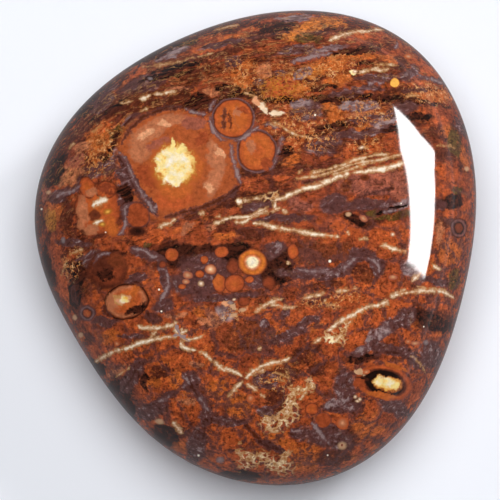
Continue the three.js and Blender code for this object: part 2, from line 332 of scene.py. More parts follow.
        ("red_orange", 9.0, -16.5, 0.7, 0.4, 20), ("brick", 13.2, -11.4, 0.8, 1.0, -20),
        ("brick", 12.6, -12.6, 0.6, 0.5, 0), ("dark_brown", 6.6, -17.4, 1.4, 0.7, 10),
    ],
}

# The violet, grey and black colours, whose patches lie over the warm ones.
COOL_COLOURS = ("violet", "grey_violet", "grey", "lavender", "black", "black_brown")

# A patch reaches this much past its given size, and its edge is this steep.
PATCH_SPREAD = 1.3
PATCH_STEEPNESS = 4.0

# A vein runs out over this length at each end.
VEIN_TIP = 0.4

# At its tips a vein counts as this far away, so that its colours fade out.
VEIN_GONE = 0.25

VEINS_PER_GROUP = 12
ORBS_PER_GROUP = 30

# How an orb changes from its middle to its edge: a share of the radius, a colour, and how much it covers.
ORB_RINGS = {
    "plain": [
        (0, "orange", 1), (0.6, "red_orange", 1), (0.82, "brick", 1), (0.93, "dark_brown", 0.9),
        (1, "dark_brown", 0),
    ],
    "dim": [
        (0, "brick", 0.9), (0.6, "red_brown", 0.9), (0.85, "dark_brown", 0.8), (1, "dark_brown", 0),
    ],
    "flat": [(0, "brick", 1), (0.8, "brick", 1), (0.92, "violet", 0.8), (1, "violet", 0)],
    "salmon": [(0, "peach", 1), (0.35, "salmon", 1), (0.85, "red_orange", 1), (1, "violet", 0)],
    "peach_core": [
        (0, "cream", 1), (0.4, "peach", 1), (0.75, "salmon", 1), (0.9, "brick", 0.8), (1, "violet", 0),
    ],
    "rose_core": [(0, "tan", 1), (0.5, "salmon", 1), (0.8, "rose_brown", 0.9), (1, "violet", 0)],
    "gold": [(0, "gold", 1), (0.8, "gold", 1), (0.92, "orange", 1), (1, "orange", 0)],
    "tan": [(0, "tan", 1), (0.5, "tan", 0.9), (1, "tan", 0)],
    "pale": [(0, "white", 1), (0.5, "tan", 0.9), (1, "tan", 0)],
    "grey": [(0, "lavender", 0.9), (0.6, "grey", 0.8), (1, "grey_violet", 0)],
    "ringed": [
        (0, "orange", 1), (0.35, "brick", 1), (0.5, "black_brown", 1), (0.68, "grey_violet", 1),
        (0.82, "violet", 1), (1, "violet", 0),
    ],
    "dark_ringed": [
        (0, "red_brown", 1), (0.35, "brown", 1), (0.5, "black", 0.9), (0.7, "grey_violet", 0.7),
        (0.85, "black_brown", 0.9), (1, "black_brown", 0),
    ],
    "bead": [
        (0, "white", 1), (0.34, "cream", 1), (0.42, "peach", 1), (0.55, "orange", 1),
        (0.72, "bright_orange", 1), (0.84, "orange", 1), (0.93, "brown", 0.8), (1, "black_brown", 0),
    ],
    "veiled": [
        (0, "red_orange", 1), (0.55, "orange", 1), (0.8, "red_orange", 1), (0.87, "dark_brown", 1),
        (0.94, "grey_violet", 1), (1, "violet", 0),
    ],
    "eye_rim": [
        (0, "black", 1), (0.64, "black", 1), (0.74, "dark_brown", 0.9), (0.84, "red_orange", 0.9),
        (0.93, "brick", 0.8), (1, "violet", 0),
    ],
    "shell": [
        (0, "orange", 1), (0.55, "red_orange", 1), (0.78, "salmon", 1), (0.86, "brown", 1),
        (0.92, "black", 1), (1, "black_brown", 0),
    ],
    "ground": [(0, "rust", 1), (0.9, "rust", 0.9), (1, "rust", 0)],
    "blot": [(0, "black", 1), (0.6, "black_brown", 1), (1, "black_brown", 0)],
    "brown_blot": [(0, "dark_brown", 1), (0.7, "brown", 1), (1, "brown", 0)],
    "amber": [(0, "gold", 1), (0.5, "ochre", 1), (1, "orange", 0)],
    "hole": [(0, "brown", 1), (0.6, "red_brown", 1), (1, "tan", 0)],
    "orange_glow": [(0, "tan", 1), (0.6, "orange", 0.9), (1, "orange", 0)],
}

# The orbs: the ring pattern, the middle, the half width and half height, and the turn.
ORBS = [
    ("ground", -7.0, 7.3, 4.9, 4.3, -20), ("ground", -4.9, 6.6, 4.1, 3.6, 40),
    ("ground", -7.4, 5.0, 3.2, 2.9, 30), ("veiled", -1.85, 10.7, 1.85, 1.8, 0),
    ("veiled", 0.1, 8.0, 1.75, 1.95, 0), ("plain", -13.1, 3.2, 2.1, 2.3, 0),
    ("plain", -14.0, 5.0, 0.7, 1.0, 20), ("plain", -12.4, 4.8, 0.9, 0.8, 0),
    ("brown_blot", -13.4, 2.6, 0.62, 0.55, 0), ("flat", -9.8, 2.7, 1.1, 1.2, 20),
    ("blot", -9.8, 1.35, 0.9, 0.45, 5), ("dim", -12.3, -1.8, 1.9, 1.7, 0),
    ("shell", -10.7, -4.5, 2.0, 1.6, 14), ("ringed", -14.0, -5.5, 0.8, 0.75, 0),
    ("plain", -6.95, -0.6, 0.62, 0.6, 0), ("dim", -7.7, -1.45, 0.35, 0.35, 0),
    ("plain", -2.8, -0.4, 0.65, 0.5, 0), ("plain", -4.25, -1.05, 0.36, 0.34, 0),
    ("plain", -4.6, -2.2, 0.4, 0.36, 0), ("plain", -3.0, -3.0, 0.6, 0.8, 0),
    ("plain", -1.75, -3.0, 0.92, 0.82, 0), ("plain", -0.5, -2.7, 0.42, 0.28, 0),
    ("dim", -1.9, -1.6, 0.6, 0.7, 0), ("bead", -0.25, -1.25, 1.28, 1.2, 0),
    ("dim", 1.1, -2.9, 0.6, 0.6, 0), ("plain", 3.1, -0.3, 0.5, 0.7, 0),
    ("dim", -0.95, -4.5, 0.6, 0.42, 0), ("plain", -6.1, -3.3, 0.35, 0.25, 0),
    ("dark_ringed", 17.0, 1.6, 0.85, 0.9, 0), ("brown_blot", 9.1, 5.85, 0.45, 0.35, 0),
    ("flat", 5.6, -14.35, 0.75, 0.75, 0), ("plain", 4.7, -13.4, 0.6, 0.5, 0),
    ("eye_rim", 10.7, -11.25, 2.5, 1.5, -14), ("blot", 8.9, -10.9, 0.7, 0.25, -12),
]

# Patches that lie on the orbs.
ORB_PATCHES = [
    ("salmon", -8.9, 9.6, 1.8, 0.8, 32), ("salmon", -9.6, 8.0, 0.9, 0.9, 0),
    ("salmon", -7.0, 10.6, 1.4, 0.45, 8), ("rose_brown", -5.2, 10.4, 1.1, 0.6, -10),
    ("salmon", -3.4, 7.6, 0.6, 1.1, 20), ("salmon", -3.4, 5.6, 0.55, 1.6, -28),
    ("peach", -3.0, 7.9, 0.35, 0.5, 30), ("peach", -3.9, 4.9, 0.3, 0.5, -35),
    ("red_orange", -6.9, 3.9, 1.6, 0.8, 0), ("brick", -8.9, 5.8, 0.7, 1.2, 30),
    ("orange", -6.6, 4.9, 1.3, 0.9, 0), ("orange", -5.0, 6.7, 0.8, 1.2, 0),
    ("peach", -9.2, 9.5, 0.7, 0.3, 30), ("peach", -7.6, 10.3, 0.5, 0.25, 10),
    ("rose_brown", -8.2, 8.6, 1.0, 0.35, 30), ("brick", -4.4, 9.0, 0.5, 0.7, -30),
    ("orange", -1.5, 10.8, 0.5, 1.3, 0), ("salmon", -1.5, 10.9, 0.25, 0.9, 0),
    ("brown", -2.15, 10.5, 0.14, 0.9, 0), ("brick", -1.0, 11.5, 0.5, 0.3, -30),
    ("brick", 0.9, 7.0, 0.6, 0.6, 0), ("salmon", -0.4, 8.3, 0.4, 0.5, 0),
    ("orange", 0.6, 8.8, 0.6, 0.4, 0), ("salmon", -14.4, 2.9, 0.4, 1.5, 0),
    ("salmon", -13.6, 4.6, 0.6, 0.35, 20), ("red_brown", -12.3, 4.9, 0.7, 0.5, 0),
    ("orange", -12.0, 1.8, 0.6, 0.9, 0), ("salmon", -13.7, 1.4, 0.7, 0.4, 0),
    ("dark_brown", -12.6, -1.7, 1.2, 1.1, 20), ("brown", -11.4, -1.2, 0.8, 0.5, -20),
    ("black_brown", -12.4, -2.3, 0.8, 0.5, 20), ("orange", -10.3, -3.7, 0.9, 0.45, 20),
    ("salmon", -11.9, -4.6, 0.6, 0.7, 20), ("black_brown", -9.9, -5.1, 1.1, 0.35, 30),
    ("orange", -3.0, -2.8, 0.4, 0.5, 0), ("orange", 10.4, -12.35, 1.4, 0.25, -10),
    ("orange", 11.7, -10.0, 1.1, 0.22, -22), ("brick", 8.7, -11.3, 0.5, 0.4, 0),
    ("violet", -10.9, 6.9, 0.4, 1.1, 35), ("violet", -9.9, 5.2, 0.35, 1.2, 28),
    ("violet", -8.8, 3.6, 0.35, 1.1, 38), ("violet", -11.0, 3.4, 0.35, 1.3, 10),
    ("violet", -10.8, 5.6, 0.7, 1.3, 22), ("black_brown", -10.8, 4.5, 0.6, 0.8, 20),
]

# Bright patches with ragged edges: the star in the great orb and the pale flakes elsewhere.
BRIGHT_PATCHES = [
    ("orange", -6.7, 6.7, 1.9, 2.0, 0), ("ochre", -6.65, 6.8, 1.6, 1.75, 0),
    ("gold", -6.65, 6.9, 1.5, 1.6, 0), ("yellow", -6.7, 7.0, 1.45, 1.35, 0),
    ("cream", -6.75, 7.05, 1.35, 1.15, 0), ("cream", -6.7, 5.8, 0.85, 0.65, 0),
    ("cream", -6.55, 5.4, 0.5, 0.5, 0), ("yellow", -6.95, 8.5, 0.22, 0.65, 8),
    ("cream", -7.9, 6.7, 0.45, 0.35, 20), ("yellow", -6.2, 8.3, 0.35, 0.4, 0),
    ("pale_buff", 0.6, 11.7, 0.5, 0.28, -50), ("pale_buff", 1.8, 11.2, 0.6, 0.22, 0),
    ("peach", 0.1, 12.1, 0.4, 0.28, -40), ("peach", -2.4, -4.55, 0.4, 0.18, 15),
    ("tan", -1.9, -4.75, 0.25, 0.2, 0), ("lavender", -6.3, -7.35, 0.8, 0.13, 10),
    ("lavender", -6.4, -7.0, 0.13, 0.6, 8), ("lavender", -5.8, -7.5, 0.5, 0.11, -35),
    ("cream", 8.3, 14.6, 0.3, 0.22, 0), ("buff", -11.3, -4.3, 0.8, 0.5, 15),
    ("peach", -10.9, -4.3, 0.6, 0.4, 15), ("cream", -10.8, -4.3, 0.36, 0.34, 0),
    ("salmon", -11.9, -4.5, 0.3, 0.6, 15), ("orange", -1.4, 10.5, 0.3, 0.5, 0),
    ("salmon", -1.3, 11.2, 0.2, 0.3, 0), ("tan", 8.6, -10.25, 0.3, 0.25, 0),
    ("orange", 10.95, -11.4, 1.1, 0.6, -12), ("gold", 10.9, -11.35, 1.0, 0.52, -12),
    ("cream", 10.75, -11.25, 0.8, 0.4, -12), ("yellow", 11.5, -11.6, 0.35, 0.25, 0),
]

# Pale patches full of small holes.
SPONGY_PATCHES = [
    ("buff", -0.6, -17.7, 1.1, 0.9, 10), ("buff", 1.9, -18.2, 1.5, 0.8, -20),
    ("tan", 0.4, -17.4, 0.8, 0.6, 0), ("buff", 2.5, -17.4, 0.6, 0.9, -25),
    ("tan", -1.4, -16.9, 0.3, 0.8, -12), ("tan", -0.5, -18.1, 0.7, 0.45, 10),
    ("tan", 1.7, -18.5, 0.9, 0.4, -20), ("tan", 6.3, -7.4, 0.8, 0.6, 0), ("tan", 7.1, -7.5, 0.6, 0.5, 0),
    ("cream", 6.3, -7.6, 0.5, 0.35, 0), ("tan", 7.4, -6.6, 0.4, 0.7, -20),
    ("tan", 1.4, 4.2, 0.8, 0.5, 10), ("buff", 2.6, -14.0, 1.3, 0.9, 25),
    ("buff", 1.3, -14.9, 1.1, 0.6, -15), ("buff", 3.1, -12.8, 0.7, 1.4, -12),
    ("buff", 3.7, -11.7, 1.1, 0.4, 5), ("tan", 3.0, -12.9, 0.45, 1.1, -10),
    ("tan", 2.0, -14.6, 0.9, 0.5, 10), ("buff", 4.5, -11.4, 0.4, 0.6, 0),
    ("buff", 0.9, -14.3, 0.5, 0.4, 0),
]

# Small round spots, as the orbs are listed.
SPOTS = [
    ("brown_blot", -13.35, 2.75, 0.45, 0.42, 0), ("amber", -12.3, 2.95, 0.55, 0.4, 20),
    ("amber", -12.75, 1.9, 0.45, 0.3, 0), ("tan", -15.1, -5.85, 0.25, 0.32, 0),
    ("tan", -14.6, -7.35, 0.28, 0.25, 0), ("salmon", -11.55, -8.0, 0.28, 0.2, 0),
    ("tan", -17.3, 4.6, 0.28, 0.22, 0), ("grey", -16.05, 0.6, 0.2, 0.35, 0),
    ("grey", -8.8, 14.1, 0.28, 0.18, 0), ("peach_core", -3.7, -1.8, 0.52, 0.48, 0),
    ("rose_core", -5.6, -2.25, 0.48, 0.4, 0), ("rose_core", -5.8, -2.85, 0.35, 0.3, 0),
    ("pale", -4.5, -3.0, 0.32, 0.28, 0), ("grey", -2.1, -4.6, 0.3, 0.2, 0),
    ("pale", -1.8, -4.35, 0.2, 0.14, 0), ("gold", 11.65, 13.75, 0.43, 0.43, 0),
    ("salmon", 7.25, -14.6, 0.58, 0.58, 0), ("tan", 7.2, -16.55, 0.45, 0.4, 0),
    ("hole", 7.2, -16.5, 0.12, 0.16, 0), ("salmon", 9.25, -10.3, 0.35, 0.22, 20),
    ("grey", 14.2, -7.95, 0.32, 0.28, 0), ("rose_core", 13.3, -8.0, 0.45, 0.2, 0),
    ("salmon", 12.7, -7.9, 0.3, 0.22, 0), ("pale", 8.3, -12.4, 0.22, 0.2, 0),
    ("pale", 8.7, -12.6, 0.2, 0.22, 0), ("pale", 8.5, -12.75, 0.22, 0.16, 0),
    ("pale", 8.3, 14.6, 0.3, 0.2, 0), ("pale", 11.4, 1.1, 0.2, 0.25, 40),
    ("rose_core", 11.4, -2.5, 0.4, 0.22, 0), ("tan", 7.7, 2.7, 0.3, 0.2, 0),
    ("rose_core", 9.0, 2.4, 0.45, 0.28, -20), ("pale", 8.8, 8.3, 0.35, 0.2, 20),
    ("grey", -2.9, -17.7, 0.45, 0.32, 0), ("hole", -0.95, -17.85, 0.28, 0.22, 0),
    ("pale", 6.2, -6.8, 0.4, 0.2, 20), ("tan", -1.05, -5.2, 0.4, 0.22, 10),
    ("tan", -1.8, -5.65, 0.45, 0.2, 20), ("orange_glow", 12.8, 16.0, 0.4, 0.25, 0),
    ("salmon", -0.45, -12.5, 0.35, 0.4, 0), ("tan", -8.0, -14.5, 0.5, 0.25, -10),
    ("tan", 17.7, 6.6, 0.3, 0.25, 0),
]

# Dark seams: half the width, then the points that each runs through.
DARK_SEAMS = [
    (0.12, (-11.2, 8.2), (-10.6, 9.6), (-9.2, 10.9), (-7.4, 11.5), (-5.9, 11.7)),
    (0.05, (8.0, 4.1), (9.2, 4.3), (10.2, 4.6), (11.8, 4.95)),
    (0.09, (-2.55, 11.9), (-2.6, 10.8), (-2.6, 9.6)),
    (0.08, (11.8, -1.5), (12.6, -1.5), (13.6, -1.7)),
    (0.16, (-1.2, -14.5), (-0.2, -15.4), (0.5, -16.2), (1.2, -16.6), (2.4, -16.8)),
    (0.10, (-12.7, -4.5), (-12.4, -5.5), (-11.6, -6.0)),
    (0.08, (0.7, 6.9), (1.4, 6.3), (1.0, 5.6)),
    (0.1, (-11.7, 7.8), (-10.7, 6.4), (-9.9, 4.7), (-8.9, 3.4), (-7.8, 2.3)),
    (0.14, (-7.8, 2.3), (-6.3, 2.8), (-4.2, 3.4), (-2.5, 4.2), (-1.1, 5.3)),
    (0.08, (3.4, 5.35), (4.4, 5.55), (5.6, 5.75)),
    (0.06, (5.9, 6.35), (7.2, 6.6), (8.8, 7.05)),
    (0.08, (-10.9, -3.05), (-10.0, -2.9), (-9.1, -3.4)),
    (0.05, (-0.9, -15.8), (-1.2, -16.4), (-1.3, -17.0)),
    (0.05, (12.0, 13.0), (13.2, 13.1), (14.6, 13.05)),
    (0.10, (9.6, -8.9), (11.2, -8.7), (12.6, -9.1), (13.6, -10.0)),
    (0.06, (1.5, -8.1), (2.4, -8.0), (3.4, -7.5)),
    (0.14, (-10.0, -9.5), (-10.3, -10.8), (-11.3, -12.2)),
    (0.14, (-6.3, -10.2), (-5.6, -11.0), (-5.0, -12.0), (-4.0, -13.4)),
    (0.10, (-9.7, -13.2), (-8.2, -12.9), (-6.8, -12.1)),
    (0.12, (-4.5, -14.0), (-4.2, -15.0), (-4.8, -16.6)),
    (0.08, (-15.0, -2.8), (-15.2, -4.0), (-14.6, -5.0)),
    (0.10, (-9.0, -4.9), (-8.6, -6.0), (-8.0, -6.3)),
]

# Lavender seams, and the veins below, as the dark seams are listed.
LAVENDER_SEAMS = [
    (0.07, (-6.0, 11.6), (-5.0, 11.2), (-3.9, 11.05)),
    (0.07, (-3.8, 11.1), (-3.65, 10.1), (-3.1, 9.2), (-2.1, 8.85)),
    (0.07, (-2.1, 8.85), (-1.2, 9.0), (-0.2, 9.65), (0.5, 10.15)),
    (0.07, (-2.1, 8.85), (-2.0, 8.0), (-1.8, 7.1), (-1.5, 6.0), (-1.2, 5.1)),
    (0.06, (0.5, 10.15), (1.4, 10.1), (2.2, 9.5)),
    (0.07, (2.2, 9.5), (2.0, 8.3), (1.7, 7.2), (1.0, 6.2)),
    (0.07, (-3.9, 11.1), (-3.6, 11.9), (-3.1, 12.4)),
    (0.10, (2.8, 15.4), (4.0, 15.7), (5.2, 16.0), (6.5, 16.25)),
    (0.06, (9.1, 14.0), (9.5, 13.65), (10.0, 13.8), (10.5, 13.7), (10.9, 14.0)),
    (0.06, (13.3, 15.0), (13.6, 14.4), (14.2, 14.2), (15.0, 14.0), (16.4, 13.7)),
    (0.10, (-10.6, -0.1), (-9.3, -0.3), (-8.6, -0.7), (-7.8, -0.75)),
    (0.05, (-13.5, -1.8), (-13.2, -1.0), (-12.5, -0.5), (-11.8, -0.5)),
    (0.08, (-10.85, 3.6), (-10.8, 2.4), (-11.0, 1.4), (-11.6, 0.9)),
    (0.06, (-11.5, 8.1), (-10.5, 6.7), (-9.9, 5.3), (-9.1, 3.9), (-8.1, 2.7)),
    (0.09, (-7.6, -1.6), (-7.3, -2.6), (-7.4, -3.6), (-8.0, -4.6)),
    (0.06, (3.1, -1.8), (4.5, -2.0), (5.5, -1.95), (6.7, -2.05)),
    (0.08, (7.0, -1.85), (7.8, -1.3), (8.6, -0.8)),
    (0.08, (9.0, -0.85), (9.8, -1.15), (10.2, -1.7), (10.25, -2.5)),
    (0.12, (4.6, -14.3), (5.0, -15.0), (5.6, -15.8), (6.4, -16.5)),
    (0.13, (7.9, -8.8), (8.6, -8.5), (9.4, -8.05)),
    (0.06, (-4.9, -12.2), (-4.3, -12.9), (-3.8, -13.8)),
    (0.05, (-6.2, -10.3), (-5.8, -10.9), (-5.4, -11.5)),
    (0.05, (-8.5, -12.85), (-7.6, -12.6), (-6.9, -12.1)),
    (0.05, (11.5, 16.6), (11.8, 16.9), (12.0, 17.3)),
    (0.06, (-16.8, 4.0), (-16.0, 4.5), (-15.2, 4.7), (-14.4, 5.4)),
    (0.06, (10.3, 2.9), (11.2, 3.0), (12.2, 3.1)),
]

TAN_VEINS = [
    (0.14, (3.0, 5.6), (4.0, 5.8), (5.2, 5.95), (6.5, 6.3), (8.0, 6.9), (9.5, 7.15), (11.0, 7.45),
     (12.4, 7.8)),
    (0.12, (6.0, 5.95), (7.5, 6.4), (9.0, 6.9), (10.4, 7.1)),
    (0.15, (4.2, 6.0), (6.2, 6.5), (7.6, 7.0), (9.2, 7.5), (11.6, 7.85)),
    (0.07, (3.2, 6.0), (3.7, 6.3), (4.1, 6.65)),
    (0.07, (8.2, 0.35), (8.8, 0.65), (9.7, 0.55)),
    (0.07, (5.2, -4.85), (5.6, -4.5), (5.9, -4.1)),
    (0.06, (5.5, -4.9), (6.3, -4.8), (7.3, -5.05)),
    (0.06, (13.1, -3.15), (14.0, -3.35), (15.0, -3.5), (16.2, -3.8)),
    (0.06, (1.1, 10.35), (2.0, 10.15), (2.6, 9.7), (3.5, 9.3), (4.6, 9.2)),
    (0.05, (-1.3, 12.95), (-0.4, 12.65), (0.3, 12.2)),
    (0.06, (-16.3, -2.7), (-15.95, -1.7), (-15.6, -0.8)),
    (0.10, (-15.7, -0.9), (-15.0, -0.35), (-14.1, -0.1)),
    (0.05, (14.8, 8.4), (16.0, 8.5), (17.0, 8.2)),
    (0.07, (2.9, -11.65), (3.8, -11.75), (4.6, -11.6)),
    (0.26, (3.1, -11.8), (2.95, -12.7), (2.6, -13.6), (2.3, -14.4)),
    (0.10, (3.5, -12.9), (4.1, -12.0), (4.6, -11.0)),
    (0.12, (0.6, -14.4), (1.0, -15.0), (1.7, -15.25), (2.4, -14.9)),
    (0.08, (1.3, -14.4), (1.8, -14.05), (2.3, -14.2)),
    (0.04, (1.2, -10.3), (2.2, -10.5), (2.9, -10.9)),
    (0.04, (1.3, -10.8), (2.2, -11.0), (2.7, -11.5)),
    (0.04, (2.4, -9.9), (2.6, -10.4), (2.95, -11.4)),
    (0.05, (-1.7, -18.9), (-1.4, -18.8), (-1.2, -18.5)),
    (0.04, (-9.8, 15.1), (-8.0, 15.25), (-6.5, 15.5), (-5.0, 15.9), (-3.2, 16.3)),
    (0.05, (-15.8, 8.1), (-15.3, 8.5), (-14.8, 8.9)),
    (0.05, (-14.0, 9.5), (-13.2, 10.0), (-12.8, 10.5)),
    (0.05, (-9.9, 11.1), (-9.3, 11.4), (-8.6, 11.6)),
    (0.04, (-3.9, 18.0), (-2.6, 18.4), (-1.0, 18.7)),
    (0.05, (9.8, 15.2), (11.0, 15.3), (12.1, 15.1)),
    (0.05, (12.2, 12.55), (13.0, 12.65), (13.9, 12.6)),
    (0.04, (-11.9, -10.9), (-10.9, -10.3), (-10.2, -9.7)),
    (0.05, (12.6, -8.8), (13.6, -9.6), (14.3, -10.6)),
    (0.06, (0.9, 10.4), (1.5, 10.15), (2.2, 10.2)),
    (0.07, (0.5, 4.1), (1.1, 4.5), (1.7, 4.6)),
]

CREAM_VEINS = [
    (0.06, (-6.9, -6.3), (-6.6, -6.9), (-6.2, -7.4)),
    (0.05, (-6.9, -7.5), (-6.2, -7.1), (-5.4, -6.8)),
    (0.05, (-6.2, -7.7), (-6.1, -6.9), (-6.0, -6.4)),
    (0.05, (-6.8, -7.1), (-6.1, -7.4), (-5.6, -8.0)),
    (0.16, (1.2, 3.9), (2.2, 4.15), (3.0, 4.5), (4.0, 4.85), (5.0, 5.1), (6.0, 5.5), (7.0, 5.9),
     (8.0, 6.2)),
    (0.19, (7.8, 6.15), (9.4, 6.35), (10.6, 6.5), (11.5, 6.8), (12.6, 7.05)),
    (0.06, (-1.3, 3.8), (-0.6, 3.95), (0.2, 4.05), (1.2, 4.3)),
    (0.26, (-1.75, 3.72), (-1.35, 3.78), (-0.9, 3.85)),
    (0.10, (-3.8, 1.9), (-3.2, 2.0), (-2.6, 2.3), (-2.1, 2.45), (-1.0, 2.5), (-0.4, 2.6), (0.3, 3.0),
     (1.2, 3.5)),
    (0.10, (-2.0, 2.1), (-1.3, 2.1), (-0.8, 2.2), (-0.2, 2.6), (0.6, 2.9), (1.4, 2.95)),
    (0.10, (-3.5, 2.7), (-3.1, 2.6), (-2.7, 2.4)),
    (0.08, (-4.9, 2.75), (-4.5, 2.85), (-4.1, 2.95)),
    (0.12, (-8.3, 1.55), (-7.8, 1.75), (-7.1, 2.05), (-6.4, 2.5)),
    (0.10, (1.0, 2.95), (1.4, 3.0), (1.8, 3.2), (2.3, 3.25)),
    (0.12, (2.1, 3.25), (2.5, 2.95), (2.85, 2.9)),
    (0.07, (1.3, 3.0), (1.6, 3.5), (1.6, 4.2)),
    (0.12, (-0.5, 2.1), (0.5, 1.9), (1.2, 1.75), (2.0, 1.65), (3.0, 1.5), (4.0, 1.3), (5.0, 1.1),
     (6.3, 0.95), (7.1, 0.75)),
    (0.08, (7.4, 1.35), (7.7, 1.15), (7.9, 0.9)),
    (0.11, (10.1, -0.05), (10.8, 0.1), (11.5, -0.15), (12.8, -0.25)),
    (0.09, (-0.3, -5.5), (0.4, -5.0), (1.0, -4.7), (1.6, -4.4), (2.4, -4.2)),
    (0.06, (0.9, -4.75), (1.8, -4.8), (2.8, -4.9), (3.7, -4.8)),
    (0.13, (6.0, -6.9), (6.8, -6.3), (7.6, -5.9), (8.4, -5.4), (9.5, -4.9), (10.5, -4.7), (11.2, -4.2)),
    (0.12, (11.0, -4.3), (12.0, -3.9), (13.0, -3.75), (14.0, -3.6), (15.0, -3.65), (16.2, -4.0),
     (16.9, -4.6)),
    (0.08, (7.4, -7.2), (7.6, -6.5), (8.1, -5.9)),
    (0.03, (3.6, -4.2), (4.8, -4.0), (6.0, -3.7)),
    (0.03, (6.4, -3.7), (7.6, -3.5), (8.8, -3.2)),
    (0.08, (11.0, -4.2), (12.0, -3.65), (12.7, -3.35)),
    (0.08, (12.8, -3.1), (13.3, -2.5), (13.9, -2.0)),
    (0.09, (14.6, -1.2), (15.0, -1.65), (15.8, -1.85)),
    (0.12, (-13.7, -9.7), (-12.6, -9.1), (-11.8, -8.7), (-10.8, -8.4), (-9.8, -8.05), (-8.8, -7.7),
     (-7.2, -7.4), (-6.3, -7.4)),
    (0.10, (-10.1, -6.55), (-9.0, -6.7), (-8.0, -6.7), (-7.2, -6.5), (-6.2, -6.1)),
    (0.07, (-8.9, -7.6), (-8.4, -7.1), (-8.0, -6.7)),
    (0.09, (-6.1, -7.6), (-5.2, -7.6), (-4.5, -7.4), (-4.0, -7.05)),
    (0.09, (-6.3, -7.5), (-6.0, -8.2), (-5.3, -8.5), (-4.6, -8.6)),
    (0.10, (-4.9, -8.5), (-4.0, -9.0), (-3.4, -9.5), (-2.8, -10.0), (-2.0, -10.2), (-1.4, -10.4),
     (-0.9, -10.9)),
    (0.15, (-1.1, -11.0), (-0.3, -10.3), (0.5, -9.9), (1.3, -9.6), (2.2, -9.4), (3.1, -9.0)),
    (0.07, (-0.5, -10.5), (0.3, -10.3), (1.0, -10.05)),
    (0.10, (-0.9, -10.9), (-1.5, -11.5), (-2.0, -12.1), (-2.35, -12.7)),
    (0.14, (-1.0, -11.1), (-0.3, -11.6), (0.3, -12.05)),
    (0.07, (0.2, -12.1), (0.6, -12.3), (1.0, -12.4)),
    (0.09, (4.6, -8.0), (5.1, -7.7), (5.75, -7.3)),
    (0.09, (5.9, 17.2), (7.2, 17.7), (8.3, 18.0), (9.3, 18.1), (10.3, 18.25), (11.0, 18.3)),
    (0.13, (9.5, 14.9), (10.5, 14.85), (11.4, 15.05)),
    (0.06, (8.3, 14.5), (9.3, 14.75), (10.2, 14.95)),
    (0.05, (-11.4, 12.0), (-10.6, 12.1), (-9.9, 12.25)),
    (0.16, (-9.9, 12.3), (-9.3, 12.45), (-8.6, 12.7)),
    (0.08, (-8.6, 12.75), (-7.6, 12.85), (-6.4, 12.95)),
    (0.20, (0.2, 12.2), (0.7, 11.7), (0.95, 11.0)),
    (0.19, (1.0, 11.3), (1.7, 11.15), (2.4, 11.25)),
    (0.17, (-7.0, -14.3), (-6.5, -15.0), (-5.9, -15.6)),
    (0.24, (-13.8, 3.3), (-13.2, 3.65), (-12.6, 3.9), (-11.9, 4.0)),
    (0.17, (-13.7, 1.95), (-13.1, 2.1), (-12.4, 2.45)),
    (0.05, (0.0, -8.5), (0.3, -8.35), (0.6, -8.15)),
    (0.05, (2.7, -1.5), (2.72, -1.3), (2.8, -1.05)),
]

# Each kind of vein: its list, then the distance from its edge, a colour and its cover, from the middle out.
VEIN_KINDS = {
    "dark_seams": (DARK_SEAMS, [(-0.1, "black_brown", 0.85), (0.02, "violet", 0.8), (0.16, "violet", 0)]),
    "lavender_seams": (LAVENDER_SEAMS, [
        (-0.08, "lavender", 0.9), (0.02, "grey_violet", 0.85), (0.2, "violet", 0),
    ]),
    "tan_veins": (TAN_VEINS, [
        (-0.2, "pale_buff", 0.9), (-0.1, "tan", 0.95), (-0.02, "buff", 0.6), (0.1, "buff", 0),
    ]),
    "cream_veins": (CREAM_VEINS, [
        (-0.22, "white", 1), (-0.12, "pale_buff", 0.95), (-0.02, "tan", 0.85), (0.08, "buff", 0.4),
        (0.2, "brown", 0),
    ]),
}

# Where thin orange and tan walls run round small dark cells.
LACE = [
    ("orange", 2.6, 13.6, 3.0, 1.8, 5), ("orange", 6.6, 14.8, 2.8, 1.2, 12),
    ("ochre", 2.2, 13.4, 2.2, 1.1, 0), ("orange", -1.2, 14.4, 1.8, 1.6, 0),
    ("orange", 14.4, 12.8, 2.4, 1.0, -10), ("orange", 3.4, 10.2, 2.6, 1.2, 5),
    ("buff", 4.6, 9.0, 2.4, 1.2, 5), ("orange", -12.2, 8.6, 2.0, 1.8, 50),
    ("buff", -13.2, 7.2, 1.6, 1.2, 40), ("buff", 6.2, -4.4, 2.6, 0.7, 5),
    ("orange", 9.0, 11.2, 2.4, 1.4, 0), ("buff", 1.6, -11.0, 1.4, 1.0, 0),
    ("buff", -15.3, -1.4, 0.9, 1.6, -20), ("orange", 9.2, 8.6, 1.8, 0.8, 5),
    ("orange", -2.0, -5.5, 1.6, 0.6, 15),
]

# One line of the fibres, as places across and up.
FIBRE_LINE = [
    (-20, -10.5), (-15, -5.9), (-10, -2.7), (-5, -1.0), (0, 0), (5, 0.9), (10, 1.7), (15, 2.3), (20, 2.7),
]

# How far the patterns are drawn out along X, Y and Z, which is most along the fibres.
FIBRE_STRETCH = (3.6, 1.0, 1.6)

# The stone is fibrous where this direction, seen from above, reaches furthest.
FIBROUS_SIDE = (-0.35, 0.94, 0.0)

# Painted highlights, white glints of light laid into the colour of the polished face: the middle and the radius.
PAINTED_GLINTS = [
    (6.15, -1.15, 0.14), (-8.0, -3.5, 0.10), (-4.75, -17.35, 0.12), (4.95, 11.0, 0.10),
    (-17.9, 3.2, 0.10), (-12.45, 1.25, 0.07), (6.0, -17.3, 0.08), (14.0, -6.6, 0.07), (12.1, 3.65, 0.07),
    (-7.8, -5.3, 0.09),
]

# The stone is painted in four quarters of the chart, so that no point of it has to work out every mark.
QUARTERS = {"upper_left": (-1, 1), "upper_right": (1, 1), "lower_left": (-1, -1), "lower_right": (1, -1)}

# A mark can wander this far from its listed place, and so into the next quarter.
MARKS_WANDER = 1.2

